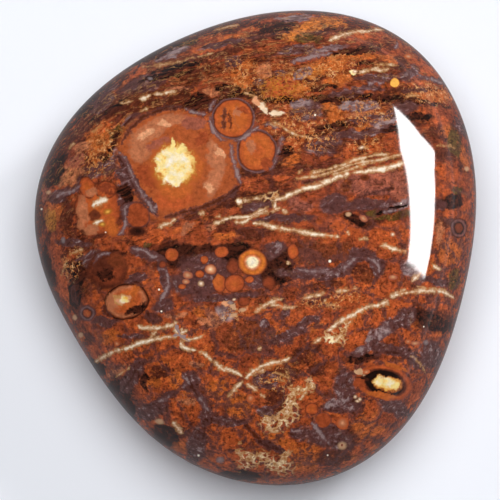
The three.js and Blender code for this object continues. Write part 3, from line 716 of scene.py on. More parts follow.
# The spacing of each pattern in millimetres, from how many of it lie side by side in a centimetre.
BLOTCH_SPACING = 10 / 7.5
FIBRE_SPACING = 10 / 24
STREAK_SPACING = 10 / 42
MOTTLE_SPACING = 10 / 9.5
SPECK_SPACING = 10 / 34
GRAIN_SPACING = 10 / 26
NET_SPACING = 10 / 4.2
THREAD_SPACING = 10 / 11.5
CELL_SPACING = 10 / 17
WALL_SPACING = 10 / 15
SIDE_BLOTCH_SPACING = 2.0
SIDE_ORB_SPACING = 5.0
SIDE_CRACK_SPACING = 6.25

# Quartz has this index, and a good polish leaves it this smooth.
QUARTZ_IOR = 1.54
POLISH_ROUGHNESS = 0.06

SENSOR_WIDTH = 36.0
CAMERA_NEAR = 0.01
CAMERA_FAR = 10.0

# The floor is matt and glows a little of its own, and it is dimmed where it is seen in the polish.
FLOOR_HALF = 900.0
FLOOR_ROUGHNESS = 0.9
FLOOR_SHEEN = 0.1
FLOOR_GLOW = 0.05
FLOOR_DIMMING = 0.72

# The bright window stands upright this far to the right, and its corners are places across and up.
WINDOW_DISTANCE = 300.0
WINDOW_CORNERS = [
    (263, 295), (195, 226), (153, 186), (112, 122), (82, 144), (37, 146),
    (-19, 135), (-33, 134), (-10, 255), (56, 292), (157, 335),
]
WINDOW_RADIANCE = 24.0

# Soft lamps that leave no reflection: the name, the place, the size and the power in watts.
LAMPS = [("overhead_lamp", (0, 80, 600), 420, 3.65), ("side_lamp", (370, 235, 330), 160, 2.0)]

# The room is brighter on the window's side, and its greys go from the horizon to straight up.
WINDOW_SIDE = (0.85, 0.5, 0.0)
ROOM_DIM = 0.75
ROOM_BRIGHT = 3.2
ROOM_GREYS = [(0.0, "8E8E92"), (0.10, "606062"), (0.28, "2A2929"), (0.5, "1A1918"), (1.0, "181716")]


def linear(hex_colour, alpha=1.0):
    """An sRGB colour such as "8E3A1C" as linear red, green, blue and alpha."""
    parts = [int(hex_colour[i:i + 2], 16) / 255 for i in (0, 2, 4)]
    return [c / 12.92 if c <= 0.04045 else ((c + 0.055) / 1.055) ** 2.4 for c in parts] + [alpha]


def smooth_step(value, low, high):
    t = np.clip((value - low) / (high - low), 0, 1)
    return t * t * (3 - 2 * t)


def tumbled_rise(points):
    total = np.zeros(len(points))
    for length, rise, direction, start in TUMBLED_SWELLS:
        along = points @ (np.array(direction) / np.linalg.norm(direction))
        total += rise * np.sin(2 * math.pi * along / length + math.radians(start))
    return total


def surface_points(directions):
    """Carries directions from the stone's middle to the points of its surface there, in millimetres."""
    x, y, z = directions.T
    angle = np.arctan2(y, x)
    radius = MEAN_RADIUS + sum(
        rise * np.cos(crests * (angle - math.radians(towards))) for crests, rise, towards in OUTLINE_SWELLS
    )
    reach = np.hypot(x, y) ** (2 / CROWN_POWER) * radius
    towards_crown = np.maximum(z, 0) ** 2
    tone_and_painted_lift = np.sign(z) * np.abs(z) ** (2 / RIM_POWER)
    height = tone_and_painted_lift * np.where(tone_and_painted_lift > 0, CROWN_RISE, BELLY_DROP)
    points = np.stack([
        reach * np.cos(angle) + CROWN_SHIFT[0] * towards_crown,
        reach * np.sin(angle) + CROWN_SHIFT[1] * towards_crown,
        RIM_HEIGHT + height,
    ], axis=1)
    fade = smooth_step(points[:, 2], 0, SWELLS_FADE_BELOW)
    ripple = np.array([noise.noise(Vector(p / RIPPLE_LENGTH)) for p in points]) * RIPPLE_RISE
    points += directions * ((tumbled_rise(points) + ripple) * fade)[:, None]
    overlap = np.maximum(FLAT_BLEND - np.abs(points[:, 2]), 0)
    points[:, 2] = np.maximum(points[:, 2], 0) + overlap ** 2 / (4 * FLAT_BLEND)
    return points


def cube_directions(cube):
    """Directions through the grid of a cube, in equal steps of angle across each side."""
    corners = np.array([v.co for v in cube.verts])
    directions = np.tan(corners * math.pi / 4)
    return directions / np.linalg.norm(directions, axis=1)[:, None]


def make_pebble():
    """The polished pebble, in the place of the solid one."""
    cube = bmesh.new()
    bmesh.ops.create_cube(cube, size=2)
    bmesh.ops.subdivide_edges(cube, edges=cube.edges[:], cuts=SQUARES_PER_SIDE - 1, use_grid_fill=True)
    points = surface_points(cube_directions(cube)) * MM
    low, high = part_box("stone")
    middle = (points.min(axis=0) + points.max(axis=0)) / 2
    points += [(low.x + high.x) / 2 - middle[0], (low.y + high.y) / 2 - middle[1], low.z]
    for vertex, point in zip(cube.verts, points):
        vertex.co = point
    bmesh.ops.recalc_face_normals(cube, faces=cube.faces)
    mesh = bpy.data.meshes.new("jasper_pebble")
    cube.to_mesh(mesh)
    cube.free()
    mesh.shade_smooth()
    pebble = bpy.data.objects.new("jasper_pebble", mesh)
    bpy.context.collection.objects.link(pebble)
    return pebble


def paint_quarters(pebble):
    """Gives each face of the pebble the material of the quarter of the chart that it lies in."""
    for quarter in QUARTERS:
        pebble.data.materials.append(polished_jasper(quarter))
    faces = pebble.data.polygons
    x, y, z = np.array([face.center for face in faces]).T / MM
    chart_y = y * math.cos(CHART_TILT) + (z - RIM_HEIGHT) * math.sin(CHART_TILT)
    sides = list(QUARTERS.values())
    corners = zip(np.where(x > 0, 1, -1), np.where(chart_y > 0, 1, -1))
    faces.foreach_set("material_index", [sides.index(corner) for corner in corners])


def add(tree, kind, inputs=None, **settings):
    """Adds a node, sets its settings, and fills or links its inputs by name or number."""
    node = tree.nodes.new("ShaderNode" + kind)
    for name, value in settings.items():
        setattr(node, name, value)
    for key, value in (inputs or {}).items():
        if isinstance(value, bpy.types.NodeSocket):
            tree.links.new(value, node.inputs[key])
        else:
            node.inputs[key].default_value = value
    return node


def new_material(name):
    material = bpy.data.materials.new(name)
    material.use_nodes = True
    material.node_tree.nodes.clear()
    return material


def stone_colours(*stops):
    """Stops for a ramp from a place, the name of a colour and, where it is not all, how much it covers."""
    return [(place, linear(COLOURS[name], *cover)) for place, name, *cover in stops]


def fill_ramp(ramp, stops):
    """Gives a ramp its stops, each a place from 0 to 1 and a colour with its cover."""
    while len(ramp.elements) < len(stops):
        ramp.elements.new(1.0)
    for element, (place, colour) in zip(ramp.elements, stops):
        element.position = place
        element.color = colour


def fill_curve(mapping, points, handle):
    """Gives a curve node its points, with one kind of handle."""
    mapping.use_clip = False
    curve = mapping.curves[0]
    while len(curve.points) < len(points):
        curve.points.new(0.5, 0.5)
    for point, (x, y) in zip(curve.points, points):
        point.location = (x, y)
        point.handle_type = handle
    mapping.update()


SOCKET_KINDS = {"VALUE": "NodeSocketFloat", "VECTOR": "NodeSocketVector", "RGBA": "NodeSocketColor"}


def draw_group(tree, name, sources, draw, marks):
    """Draws marks over one another in a node group of their own, which builds faster than one long tree."""
    group = bpy.data.node_groups.new(name, "ShaderNodeTree")
    for label, source in sources.items():
        group.interface.new_socket(label, in_out="INPUT", socket_type=SOCKET_KINDS[source.type])
    given = group.nodes.new("NodeGroupInput").outputs
    result = draw(group, given, marks)
    group.interface.new_socket("Result", in_out="OUTPUT", socket_type=SOCKET_KINDS[result.type])
    end = group.nodes.new("NodeGroupOutput")
    group.links.new(result, end.inputs["Result"])
    return add(tree, "Group", sources, node_tree=group).outputs["Result"]


def ellipse(tree, place, x, y, half_length, half_breadth, turn):
    """A field that is 1 in the middle of an ellipse and falls to 0 at its edge."""
    cone = add(tree, "TexGradient", {"Vector": place}, gradient_type="SPHERICAL")
    cone.texture_mapping.vector_type = "TEXTURE"
    cone.texture_mapping.translation = (x, y, 0)
    cone.texture_mapping.rotation = (0, 0, math.radians(turn))
    cone.texture_mapping.scale = (half_length, half_breadth, 1)
    return cone.outputs["Fac"]


def paint(tree, under, cover, colour):
    """Lays a colour over what is under it, as far as the cover says."""
    mix = add(tree, "Mix", {0: cover, 6: under, 7: colour}, data_type="RGBA")
    return mix.outputs[2]


def draw_patches(tree, given, patches):
    colour = given["Under"]
    place = add(tree, "Mapping", {"Vector": given["Place"], "Location": given["Drift"]}).outputs[0]
    for name, x, y, half_length, half_breadth, turn in patches:
        cone = ellipse(tree, place, x, y, half_length * PATCH_SPREAD, half_breadth * PATCH_SPREAD, turn)
        cover = add(tree, "Math", {
            0: cone, 1: PATCH_STEEPNESS, 2: given["Frayed"],
        }, operation="MULTIPLY_ADD")
        colour = paint(tree, colour, cover.outputs[0], given.get(name) or linear(COLOURS[name]))
    return colour


def draw_orbs(tree, given, orbs):
    colour = given["Under"]
    place = add(tree, "Mapping", {"Vector": given["Place"], "Location": given["Drift"]}).outputs[0]
    for kind, x, y, half_width, half_height, turn in orbs:
        cone = ellipse(tree, place, x, y, half_width, half_height, turn)
        rings = add(tree, "ValToRGB", {0: cone})
        inwards = [(1 - share, name, cover) for share, name, cover in reversed(ORB_RINGS[kind])]
        fill_ramp(rings.color_ramp, stone_colours(*inwards))
        colour = paint(tree, colour, rings.outputs["Alpha"], rings.outputs["Color"])
    return colour


def draw_veins(tree, given, veins):
    """The distance in millimetres from the nearest vein, less half its width."""
    nearest = given["Nearest"]
    for half_width, *points in veins:
        points = [Vector(p) for p in points]
        along = (points[-1] - points[0]).normalized()
        across = Vector((-along.y, along.x))
        onward = add(tree, "VectorMath", {0: given["Place"], 1: along.to_3d()}, operation="DOT_PRODUCT")
        aside = add(tree, "VectorMath", {0: given["Place"], 1: across.to_3d()}, operation="DOT_PRODUCT")
        middle = add(tree, "FloatCurve", {"Value": onward.outputs["Value"]})
        fill_curve(middle.mapping, [(p.dot(along), p.dot(across)) for p in points], "AUTO")
        apart = add(tree, "Math", {0: aside.outputs["Value"], 1: middle.outputs[0]}, operation="SUBTRACT")
        away = add(tree, "Math", {0: apart.outputs[0]}, operation="ABSOLUTE")
        taper = add(tree, "FloatCurve", {"Value": onward.outputs["Value"]})
        start, end = points[0].dot(along), points[-1].dot(along)
        tip = min(VEIN_TIP, 0.3 * (end - start))
        fill_curve(taper.mapping, [
            (start, VEIN_GONE), (start + tip, -0.8 * half_width), ((start + end) / 2, -half_width),
            (end - tip, -0.8 * half_width), (end, VEIN_GONE),
        ], "VECTOR")
        edge = add(tree, "Math", {0: away.outputs[0], 1: taper.outputs[0]}, operation="ADD")
        nearest = add(tree, "Math", {0: nearest, 1: edge.outputs[0]}, operation="MINIMUM").outputs[0]
    return nearest


def paint_veins(tree, under, place, name, veins, ragged, stops):
    """Lays veins over the stone. Each stop has a distance from the edge, a colour and how much it covers."""
    far = add(tree, "Value")
    far.outputs[0].default_value = 100.0
    nearest = far.outputs[0]
    for first in range(0, len(veins), VEINS_PER_GROUP):
        nearest = draw_group(tree, f"{name}_{first // VEINS_PER_GROUP + 1}", {
            "Nearest": nearest, "Place": place,
        }, draw_veins, veins[first:first + VEINS_PER_GROUP])
    worn = add(tree, "Math", {0: nearest, 1: ragged}, operation="ADD")
    low, high = stops[0][0], stops[-1][0]
    share = add(tree, "MapRange", {"Value": worn.outputs[0], "From Min": low, "From Max": high}, clamp=False)
    ramp = add(tree, "ValToRGB", {0: share.outputs[0]})
    shares = [((distance - low) / (high - low), colour, cover) for distance, colour, cover in stops]
    fill_ramp(ramp.color_ramp, stone_colours(*shares))
    return paint(tree, under, ramp.outputs["Alpha"], ramp.outputs["Color"])


def cover_where(tree, under, colour, field, none, full, most):
    """Lays a colour over the stone where a field runs from one value, for none, to another, for the most."""
    cover = add(tree, "MapRange", {
        "Value": field, "From Min": none, "From Max": full, "To Min": 0.0, "To Max": most,
    }, interpolation_type="SMOOTHSTEP", clamp=False)
    return paint(tree, under, cover.outputs[0], linear(COLOURS[colour]))


def shade(tree, colour, field, darkest, lightest):
    """Darkens and lightens a colour with a noise field."""
    value = add(tree, "MapRange", {
        "Value": field, "From Min": 0.3, "From Max": 0.7, "To Min": darkest, "To Max": lightest,
    }, clamp=False)
    shaded = add(tree, "Mix", {
        0: 1.0, 6: colour, 7: value.outputs[0],
    }, data_type="RGBA", blend_type="MULTIPLY")
    return shaded.outputs[2]


def drift(tree, place, bends_per_cm, detail, reach):
    """A shift of up to the reach in millimetres either way, which wanders with the place."""
    wander = add(tree, "TexNoise", {
        "Vector": place, "Scale": bends_per_cm / 10, "Detail": detail, "Roughness": 0.6,
    })
    centred = add(tree, "VectorMath", {0: wander.outputs["Color"], 1: (0.5, 0.5, 0.5)}, operation="SUBTRACT")
    shift = add(tree, "VectorMath", {0: centred.outputs[0], 1: (2 * reach,) * 3}, operation="MULTIPLY")
    return shift.outputs[0]


def streaked_noise(tree, stone, spacing, detail, roughness):
    """A noise that is drawn out along the fibres where the stone is fibrous and even where it is not."""
    settings = {"Scale": 1 / spacing, "Detail": detail, "Roughness": roughness}
    along = add(tree, "TexNoise", {"Vector": stone.bent, **settings})
    even = add(tree, "TexNoise", {"Vector": stone.curled, **settings})
    return add(tree, "Mix", {0: stone.fibrous, 2: even.outputs["Fac"], 3: along.outputs["Fac"]}).outputs[0]


def lay_places(tree, stone):
    """The places that patterns are drawn in: plain millimetres, on the chart, and bent along the fibres."""
    where = add(tree, "TexCoord").outputs["Object"]
    stone.solid = add(tree, "VectorMath", {0: where, 1: (1 / MM,) * 3}, operation="MULTIPLY").outputs[0]

    # The chart looks down along the camera's tilt, onto a plane through the rim.
    chart = add(tree, "Mapping", {
        "Vector": stone.solid, "Location": (0, 0, RIM_HEIGHT), "Rotation": (CHART_TILT, 0, 0),
    }, vector_type="TEXTURE")
    flat = add(tree, "VectorMath", {0: chart.outputs[0], 1: (1, 1, 0)}, operation="MULTIPLY")
    stone.flat = flat.outputs[0]

    # The fibres run up to the right, steeply on the left and almost level on the right.
    axes = add(tree, "SeparateXYZ", {0: stone.solid})
    stone.height = axes.outputs["Z"]
    fibre_rise = add(tree, "FloatCurve", {"Value": axes.outputs["X"]})
    fill_curve(fibre_rise.mapping, FIBRE_LINE, "AUTO")
    risen = add(tree, "CombineXYZ", {"Y": fibre_rise.outputs[0]})
    level = add(tree, "VectorMath", {0: stone.solid, 1: risen.outputs[0]}, operation="SUBTRACT")
    flow = add(tree, "Mapping", {"Vector": level.outputs[0], "Scale": FIBRE_STRETCH}, vector_type="TEXTURE")
    bend = drift(tree, stone.solid, bends_per_cm=3.5, detail=2, reach=0.9)
    stone.bent = add(tree, "VectorMath", {0: flow.outputs[0], 1: bend}).outputs[0]

    # Fibres at the top give way to even blotches at the bottom.
    towards_top = add(tree, "VectorMath", {0: stone.solid, 1: FIBROUS_SIDE}, operation="DOT_PRODUCT")
    stone.fibrous = add(tree, "MapRange", {
        "Value": towards_top.outputs["Value"], "From Min": -7.0, "From Max": 5.0,
    }, interpolation_type="SMOOTHSTEP", clamp=False).outputs[0]
    curl = drift(tree, stone.solid, bends_per_cm=7, detail=3, reach=0.5)
    stone.curled = add(tree, "VectorMath", {0: stone.solid, 1: curl}).outputs[0]


def lay_ground(tree, stone):
    """The rock itself: dark brown to orange in broad blotches, lighter towards the bottom, where it is not
    fibrous, and darker towards the fibrous upper left.
    """
    stone.broad = streaked_noise(tree, stone, BLOTCH_SPACING, detail=6, roughness=0.62)
    # Partly the rock's own tone and partly painted light: the upper left is dimmed and the lower part lifted, to
    # even out how the lamps light the stone.
    tone_and_painted_lift = add(tree, "Math", {0: stone.fibrous, 1: -0.135, 2: 0.076}, operation="MULTIPLY_ADD")
    lighter_below = add(tree, "Math", {0: stone.broad, 1: tone_and_painted_lift.outputs[0]}, operation="ADD")
    base = add(tree, "ValToRGB", {0: lighter_below.outputs[0]})
    fill_ramp(base.color_ramp, stone_colours(
        (0.32, "black_brown"), (0.41, "dark_brown"), (0.47, "red_brown"),
        (0.54, "brick"), (0.62, "red_orange"), (0.72, "orange"),
    ))
    return base.outputs["Color"]


def lay_edges(tree, stone):
    """How the edges of marks fray along the fibres, and how far the marks wander."""
    stone.fibre = streaked_noise(tree, stone, FIBRE_SPACING, detail=5, roughness=0.68)
    broken = add(tree, "Math", {0: stone.fibre, 1: -4.2, 2: 1.8}, operation="MULTIPLY_ADD")
    broken = add(tree, "Math", {0: broken.outputs[0], 1: 0.0}, operation="MINIMUM")
    fray_share = add(tree, "Math", {0: stone.fibrous, 1: 0.45, 2: 0.55}, operation="MULTIPLY_ADD")
    frayed = add(tree, "Math", {0: broken.outputs[0], 1: fray_share.outputs[0]}, operation="MULTIPLY")
    stone.frayed = frayed.outputs[0]

    coarse = drift(tree, stone.solid, bends_per_cm=4.5, detail=1, reach=0.35)
    fine = drift(tree, stone.curled, bends_per_cm=12, detail=4, reach=0.55)
    stone.ragged_drift = add(tree, "VectorMath", {0: coarse, 1: fine}).outputs[0]
    stone.round_drift = drift(tree, stone.bent, bends_per_cm=9, detail=4, reach=0.2)
    wobble = drift(tree, stone.bent, bends_per_cm=11, detail=4, reach=0.2)
    stone.vein_place = add(tree, "VectorMath", {0: stone.flat, 1: wobble}).outputs[0]


def reaches(quarter, points, reach):
    """Whether a mark through these points of the chart, this far round them, touches the quarter."""
    right, above = QUARTERS[quarter]
    return max(x * right for x, y in points) > -reach and max(y * above for x, y in points) > -reach


def marks_in(quarter, marks):
    return [m for m in marks if reaches(quarter, [m[1:3]], PATCH_SPREAD * max(m[3:5]) + MARKS_WANDER)]


def veins_in(quarter, veins):
    return [v for v in veins if reaches(quarter, v[1:], v[0] + MARKS_WANDER)]


def lay_patches(tree, stone, name, colour, patches, frayed, **pattern_colours):
    """Draws patches over the colour, those of a named colour with a pattern in place of it."""
    if not patches:
        return colour
    return draw_group(tree, f"{stone.quarter}_{name}", {
        "Under": colour, "Place": stone.flat, "Drift": stone.ragged_drift, "Frayed": frayed,
        **pattern_colours,
    }, draw_patches, patches)


def lay_orbs(tree, stone, name, colour, orbs):
    """Draws the quarter's orbs or spots over the colour."""
    orbs = marks_in(stone.quarter, orbs)
    for first in range(0, len(orbs), ORBS_PER_GROUP):
        colour = draw_group(tree, f"{stone.quarter}_{name}_{first // ORBS_PER_GROUP + 1}", {
            "Under": colour, "Place": stone.flat, "Drift": stone.round_drift,
        }, draw_orbs, orbs[first:first + ORBS_PER_GROUP])
    return colour


def lay_warm_patches(tree, stone, colour):
    """The brown, red and orange patches, with the mottle, fibres, specks and grain that lie over them."""
    for region, patches in PATCHES.items():
        warm = [patch for patch in marks_in(stone.quarter, patches) if patch[0] not in COOL_COLOURS]
        colour = lay_patches(tree, stone, region + "_patches", colour, warm, stone.frayed)

    # A soft mottle of dark and light, about a millimetre across.
    mottle = add(tree, "TexNoise", {
        "Vector": stone.solid, "Scale": 1 / MOTTLE_SPACING, "Detail": 6, "Roughness": 0.68,
        "Distortion": 0.4,
    })
    stone.mottle = mottle.outputs["Fac"]
    colour = cover_where(tree, colour, "dark_brown", stone.mottle, none=0.54, full=0.64, most=0.5)
    colour = cover_where(tree, colour, "orange", stone.mottle, none=0.44, full=0.34, most=0.4)

    # Fine dark and orange fibres.
    streaks = streaked_noise(tree, stone, STREAK_SPACING, detail=4, roughness=0.7)
    colour = cover_where(tree, colour, "black_brown", streaks, none=0.49, full=0.37, most=0.75)
    colour = cover_where(tree, colour, "orange", streaks, none=0.56, full=0.66, most=0.55)
    colour = cover_where(tree, colour, "salmon", streaks, none=0.63, full=0.72, most=0.5)

    # Painted shade of small pits as dark specks, pale specks, and a grain that lightens and darkens the ground.
    pit_shade_and_specks = add(tree, "TexNoise", {
        "Vector": stone.solid, "Scale": 1 / SPECK_SPACING, "Detail": 2, "Roughness": 0.5,
    })
    colour = cover_where(tree, colour, "black_brown", pit_shade_and_specks.outputs["Fac"], none=0.63, full=0.70, most=0.8)
    colour = cover_where(tree, colour, "salmon", pit_shade_and_specks.outputs["Fac"], none=0.32, full=0.25, most=0.5)
    grain = add(tree, "TexNoise", {
        "Vector": stone.solid, "Scale": 1 / GRAIN_SPACING, "Detail": 5, "Roughness": 0.75,
    })
    stone.grain = grain.outputs["Fac"]
    return shade(tree, colour, stone.grain, darkest=0.7, lightest=1.3)


def lay_cool_patches(tree, stone, colour):
    """The violet, grey and nearly black parts, with wisps of the same fibres in them."""
    wisps = add(tree, "ValToRGB", {0: stone.fibre})
    fill_ramp(wisps.color_ramp, stone_colours(
        (0.36, "black_brown"), (0.44, "violet"), (0.53, "violet"), (0.58, "grey_violet"), (0.66, "lavender"),
    ))
    pale_wisps = add(tree, "ValToRGB", {0: stone.fibre})
    fill_ramp(pale_wisps.color_ramp, stone_colours(
        (0.36, "violet"), (0.46, "grey_violet"), (0.57, "lavender"),
    ))
    dark_wisps = add(tree, "ValToRGB", {0: stone.fibre})
    fill_ramp(dark_wisps.color_ramp, stone_colours(
        (0.42, "black"), (0.54, "black_brown"), (0.64, "dark_brown"), (0.72, "violet"),
    ))
    stone.wisps = wisps.outputs["Color"]
    stone.dark_wisps = dark_wisps.outputs["Color"]
    frayed_less = add(tree, "Math", {0: stone.frayed, 1: 0.6}, operation="MULTIPLY").outputs[0]

    # A violet net runs between the blotches, clearest where the stone is not fibrous.
    net = add(tree, "TexVoronoi", {
        "Vector": stone.curled, "Scale": 1 / NET_SPACING,
    }, feature="DISTANCE_TO_EDGE")
    from_net = add(tree, "Math", {
        0: stone.fibre, 1: 0.9, 2: net.outputs["Distance"],
    }, operation="MULTIPLY_ADD")
    net_cover = add(tree, "MapRange", {
        "Value": from_net.outputs[0], "From Min": 0.58, "From Max": 0.44, "To Min": 0.0, "To Max": 0.85,
    }, interpolation_type="SMOOTHSTEP", clamp=False)
    evenness = add(tree, "Math", {0: stone.fibrous, 1: -0.7, 2: 1.0}, operation="MULTIPLY_ADD")
    net_cover = add(tree, "Math", {0: net_cover.outputs[0], 1: evenness.outputs[0]}, operation="MULTIPLY")
    colour = paint(tree, colour, net_cover.outputs[0], stone.wisps)

    for region, patches in PATCHES.items():
        cool = [patch for patch in marks_in(stone.quarter, patches) if patch[0] in COOL_COLOURS]
        colour = lay_patches(tree, stone, region + "_cool_patches", colour, cool, frayed_less, **{
            "violet": stone.wisps, "grey_violet": pale_wisps.outputs["Color"],
            "lavender": pale_wisps.outputs["Color"], "black_brown": stone.dark_wisps,
        })
    return colour


def lay_threads(tree, stone, colour):
    """Pale threads that follow the fibres, thick in some places and missing in others."""
    thread = add(tree, "TexNoise", {
        "Vector": stone.bent, "Scale": 1 / THREAD_SPACING, "Detail": 5, "Roughness": 0.6,
    })
    off_middle = add(tree, "Math", {0: thread.outputs["Fac"], 1: 0.5}, operation="SUBTRACT")
    beside = add(tree, "Math", {0: off_middle.outputs[0]}, operation="ABSOLUTE")
    thin = add(tree, "Math", {0: stone.mottle, 1: 0.05, 2: -0.022}, operation="MULTIPLY_ADD")
    from_thread = add(tree, "Math", {0: beside.outputs[0], 1: thin.outputs[0]}, operation="SUBTRACT")
    towards_top = add(tree, "VectorMath", {0: stone.flat, 1: FIBROUS_SIDE}, operation="DOT_PRODUCT")
    fewer_below = add(tree, "MapRange", {
        "Value": towards_top.outputs["Value"], "From Min": 6.0, "From Max": 12.0,
        "To Min": 0.012, "To Max": 0.0,
    }, interpolation_type="SMOOTHSTEP", clamp=False)
    from_thread = add(tree, "Math", {0: from_thread.outputs[0], 1: fewer_below.outputs[0]}, operation="ADD")
    return cover_where(tree, colour, "buff", from_thread.outputs[0], none=0.014, full=-0.004, most=0.5)


def lay_lace(tree, stone, colour):
    """Thin walls round small cells, in the places listed for them."""
    thread_colour = add(tree, "ValToRGB", {0: stone.grain})
    fill_ramp(thread_colour.color_ramp, stone_colours(
        (0.36, "brick"), (0.46, "orange"), (0.56, "buff"), (0.66, "tan"),
    ))
    web = add(tree, "TexNoise", {
        "Vector": stone.curled, "Scale": 1 / WALL_SPACING, "Detail": 5, "Roughness": 0.66,
    })
    off_middle = add(tree, "Math", {0: web.outputs["Fac"], 1: 0.5}, operation="SUBTRACT")
    off_wall = add(tree, "Math", {0: off_middle.outputs[0]}, operation="ABSOLUTE")
    walls = add(tree, "Math", {0: off_wall.outputs[0], 1: -110.0, 2: 1.0}, operation="MULTIPLY_ADD")
    walls = add(tree, "Math", {0: walls.outputs[0], 1: 0.0}, operation="MINIMUM")
    broken_walls = add(tree, "Math", {0: walls.outputs[0], 1: stone.frayed}, operation="ADD")
    lace = marks_in(stone.quarter, LACE)
    return lay_patches(tree, stone, "lace", colour, lace, broken_walls.outputs[0], **{
        "buff": thread_colour.outputs["Color"], "orange": thread_colour.outputs["Color"],
    })


def side_marks(tree, stone, colour):
    """The blotches, orbs and veins of the sides and the underside, which the photograph does not show."""
    blotches = add(tree, "TexVoronoi", {
        "Vector": stone.bent, "Scale": 1 / SIDE_BLOTCH_SPACING, "Randomness": 1.0,
    }, feature="F1")
    which = add(tree, "SeparateColor", {0: blotches.outputs["Color"]})
    palette = add(tree, "ValToRGB", {0: which.outputs["Red"]})
    fill_ramp(palette.color_ramp, stone_colours(
        (0.0, "black_brown", 0.8), (0.2, "violet", 0.8), (0.36, "brick", 0.3), (0.52, "red_orange", 0.5),
        (0.7, "brown", 0.6), (0.86, "rose_brown", 0.5), (1.0, "grey_violet", 0.8),
    ))
    colour = paint(tree, colour, palette.outputs["Alpha"], palette.outputs["Color"])
    colour = cover_where(tree, colour, "dark_brown", stone.mottle, none=0.54, full=0.64, most=0.62)
    colour = cover_where(tree, colour, "orange", stone.mottle, none=0.44, full=0.34, most=0.3)

    balls = add(tree, "TexVoronoi", {
        "Vector": stone.solid, "Scale": 1 / SIDE_ORB_SPACING, "Randomness": 0.9,
    }, feature="F1")
    size = add(tree, "SeparateColor", {0: balls.outputs["Color"]})
    radius = add(tree, "Math", {0: size.outputs["Green"], 1: 0.34, 2: 0.08}, operation="MULTIPLY_ADD")
    wobbly = add(tree, "Math", {
        0: stone.mottle, 1: 0.12, 2: balls.outputs["Distance"],
    }, operation="MULTIPLY_ADD")
    nearer = add(tree, "Math", {0: wobbly.outputs[0], 1: 0.06}, operation="SUBTRACT")
    share = add(tree, "Math", {0: nearer.outputs[0], 1: radius.outputs[0]}, operation="DIVIDE")
    rings = add(tree, "ValToRGB", {0: share.outputs[0]})
    fill_ramp(rings.color_ramp, stone_colours(
        (0.0, "cream"), (0.22, "peach"), (0.3, "orange"), (0.7, "red_orange"), (0.84, "salmon"),
        (0.92, "grey_violet"), (1.0, "violet", 0),
    ))
    colour = paint(tree, colour, rings.outputs["Alpha"], rings.outputs["Color"])

    cracks = add(tree, "TexNoise", {
        "Vector": stone.bent, "Scale": 1 / SIDE_CRACK_SPACING, "Detail": 7, "Roughness": 0.6,
    })
    off_middle = add(tree, "Math", {0: cracks.outputs["Fac"], 1: 0.5}, operation="SUBTRACT")
    beside = add(tree, "Math", {0: off_middle.outputs[0]}, operation="ABSOLUTE")
    lumpy = add(tree, "Math", {0: stone.mottle, 1: 0.05, 2: beside.outputs[0]}, operation="MULTIPLY_ADD")
    colour = cover_where(tree, colour, "tan", lumpy.outputs[0], none=0.034, full=0.024, most=0.9)
    colour = cover_where(tree, colour, "cream", lumpy.outputs[0], none=0.027, full=0.020, most=1.0)
    return shade(tree, colour, stone.grain, darkest=0.5, lightest=1.3)


def lay_all_orbs(tree, stone, colour):
    """The orbs and the crumbly patches on them, with a weaker grain that the veins go without."""
    colour = lay_orbs(tree, stone, "orbs", colour, ORBS)
    crumbled = add(tree, "Math", {0: stone.grain, 1: -5.0, 2: 2.1}, operation="MULTIPLY_ADD")
    stone.crumbled = add(tree, "Math", {0: crumbled.outputs[0], 1: 0.0}, operation="MINIMUM").outputs[0]
    on_orbs = marks_in(stone.quarter, ORB_PATCHES)
    colour = lay_patches(tree, stone, "patches_on_orbs", colour, on_orbs, stone.crumbled, **{
        "violet": stone.wisps, "black_brown": stone.dark_wisps,
    })
    return shade(tree, colour, stone.grain, darkest=0.72, lightest=1.3)


def lay_all_veins(tree, stone, colour):
    """The dark and lavender seams, and the tan and cream veins that cross them, with ragged edges."""
    edge = add(tree, "TexNoise", {
        "Vector": stone.solid, "Scale": 1 / GRAIN_SPACING, "Detail": 4, "Roughness": 0.75,
    })
    stone.rough_edge = edge.outputs["Fac"]
    uneven = add(tree, "Math", {0: stone.mottle, 1: 0.5, 2: -0.66}, operation="MULTIPLY_ADD")
    ragged = add(tree, "Math", {0: stone.rough_edge, 1: 0.8, 2: uneven.outputs[0]}, operation="MULTIPLY_ADD")
    for name, (veins, stops) in VEIN_KINDS.items():
        colour = paint_veins(tree, colour, stone.vein_place, f"{stone.quarter}_{name}",
                             veins_in(stone.quarter, veins), ragged.outputs[0], stops)
    return colour


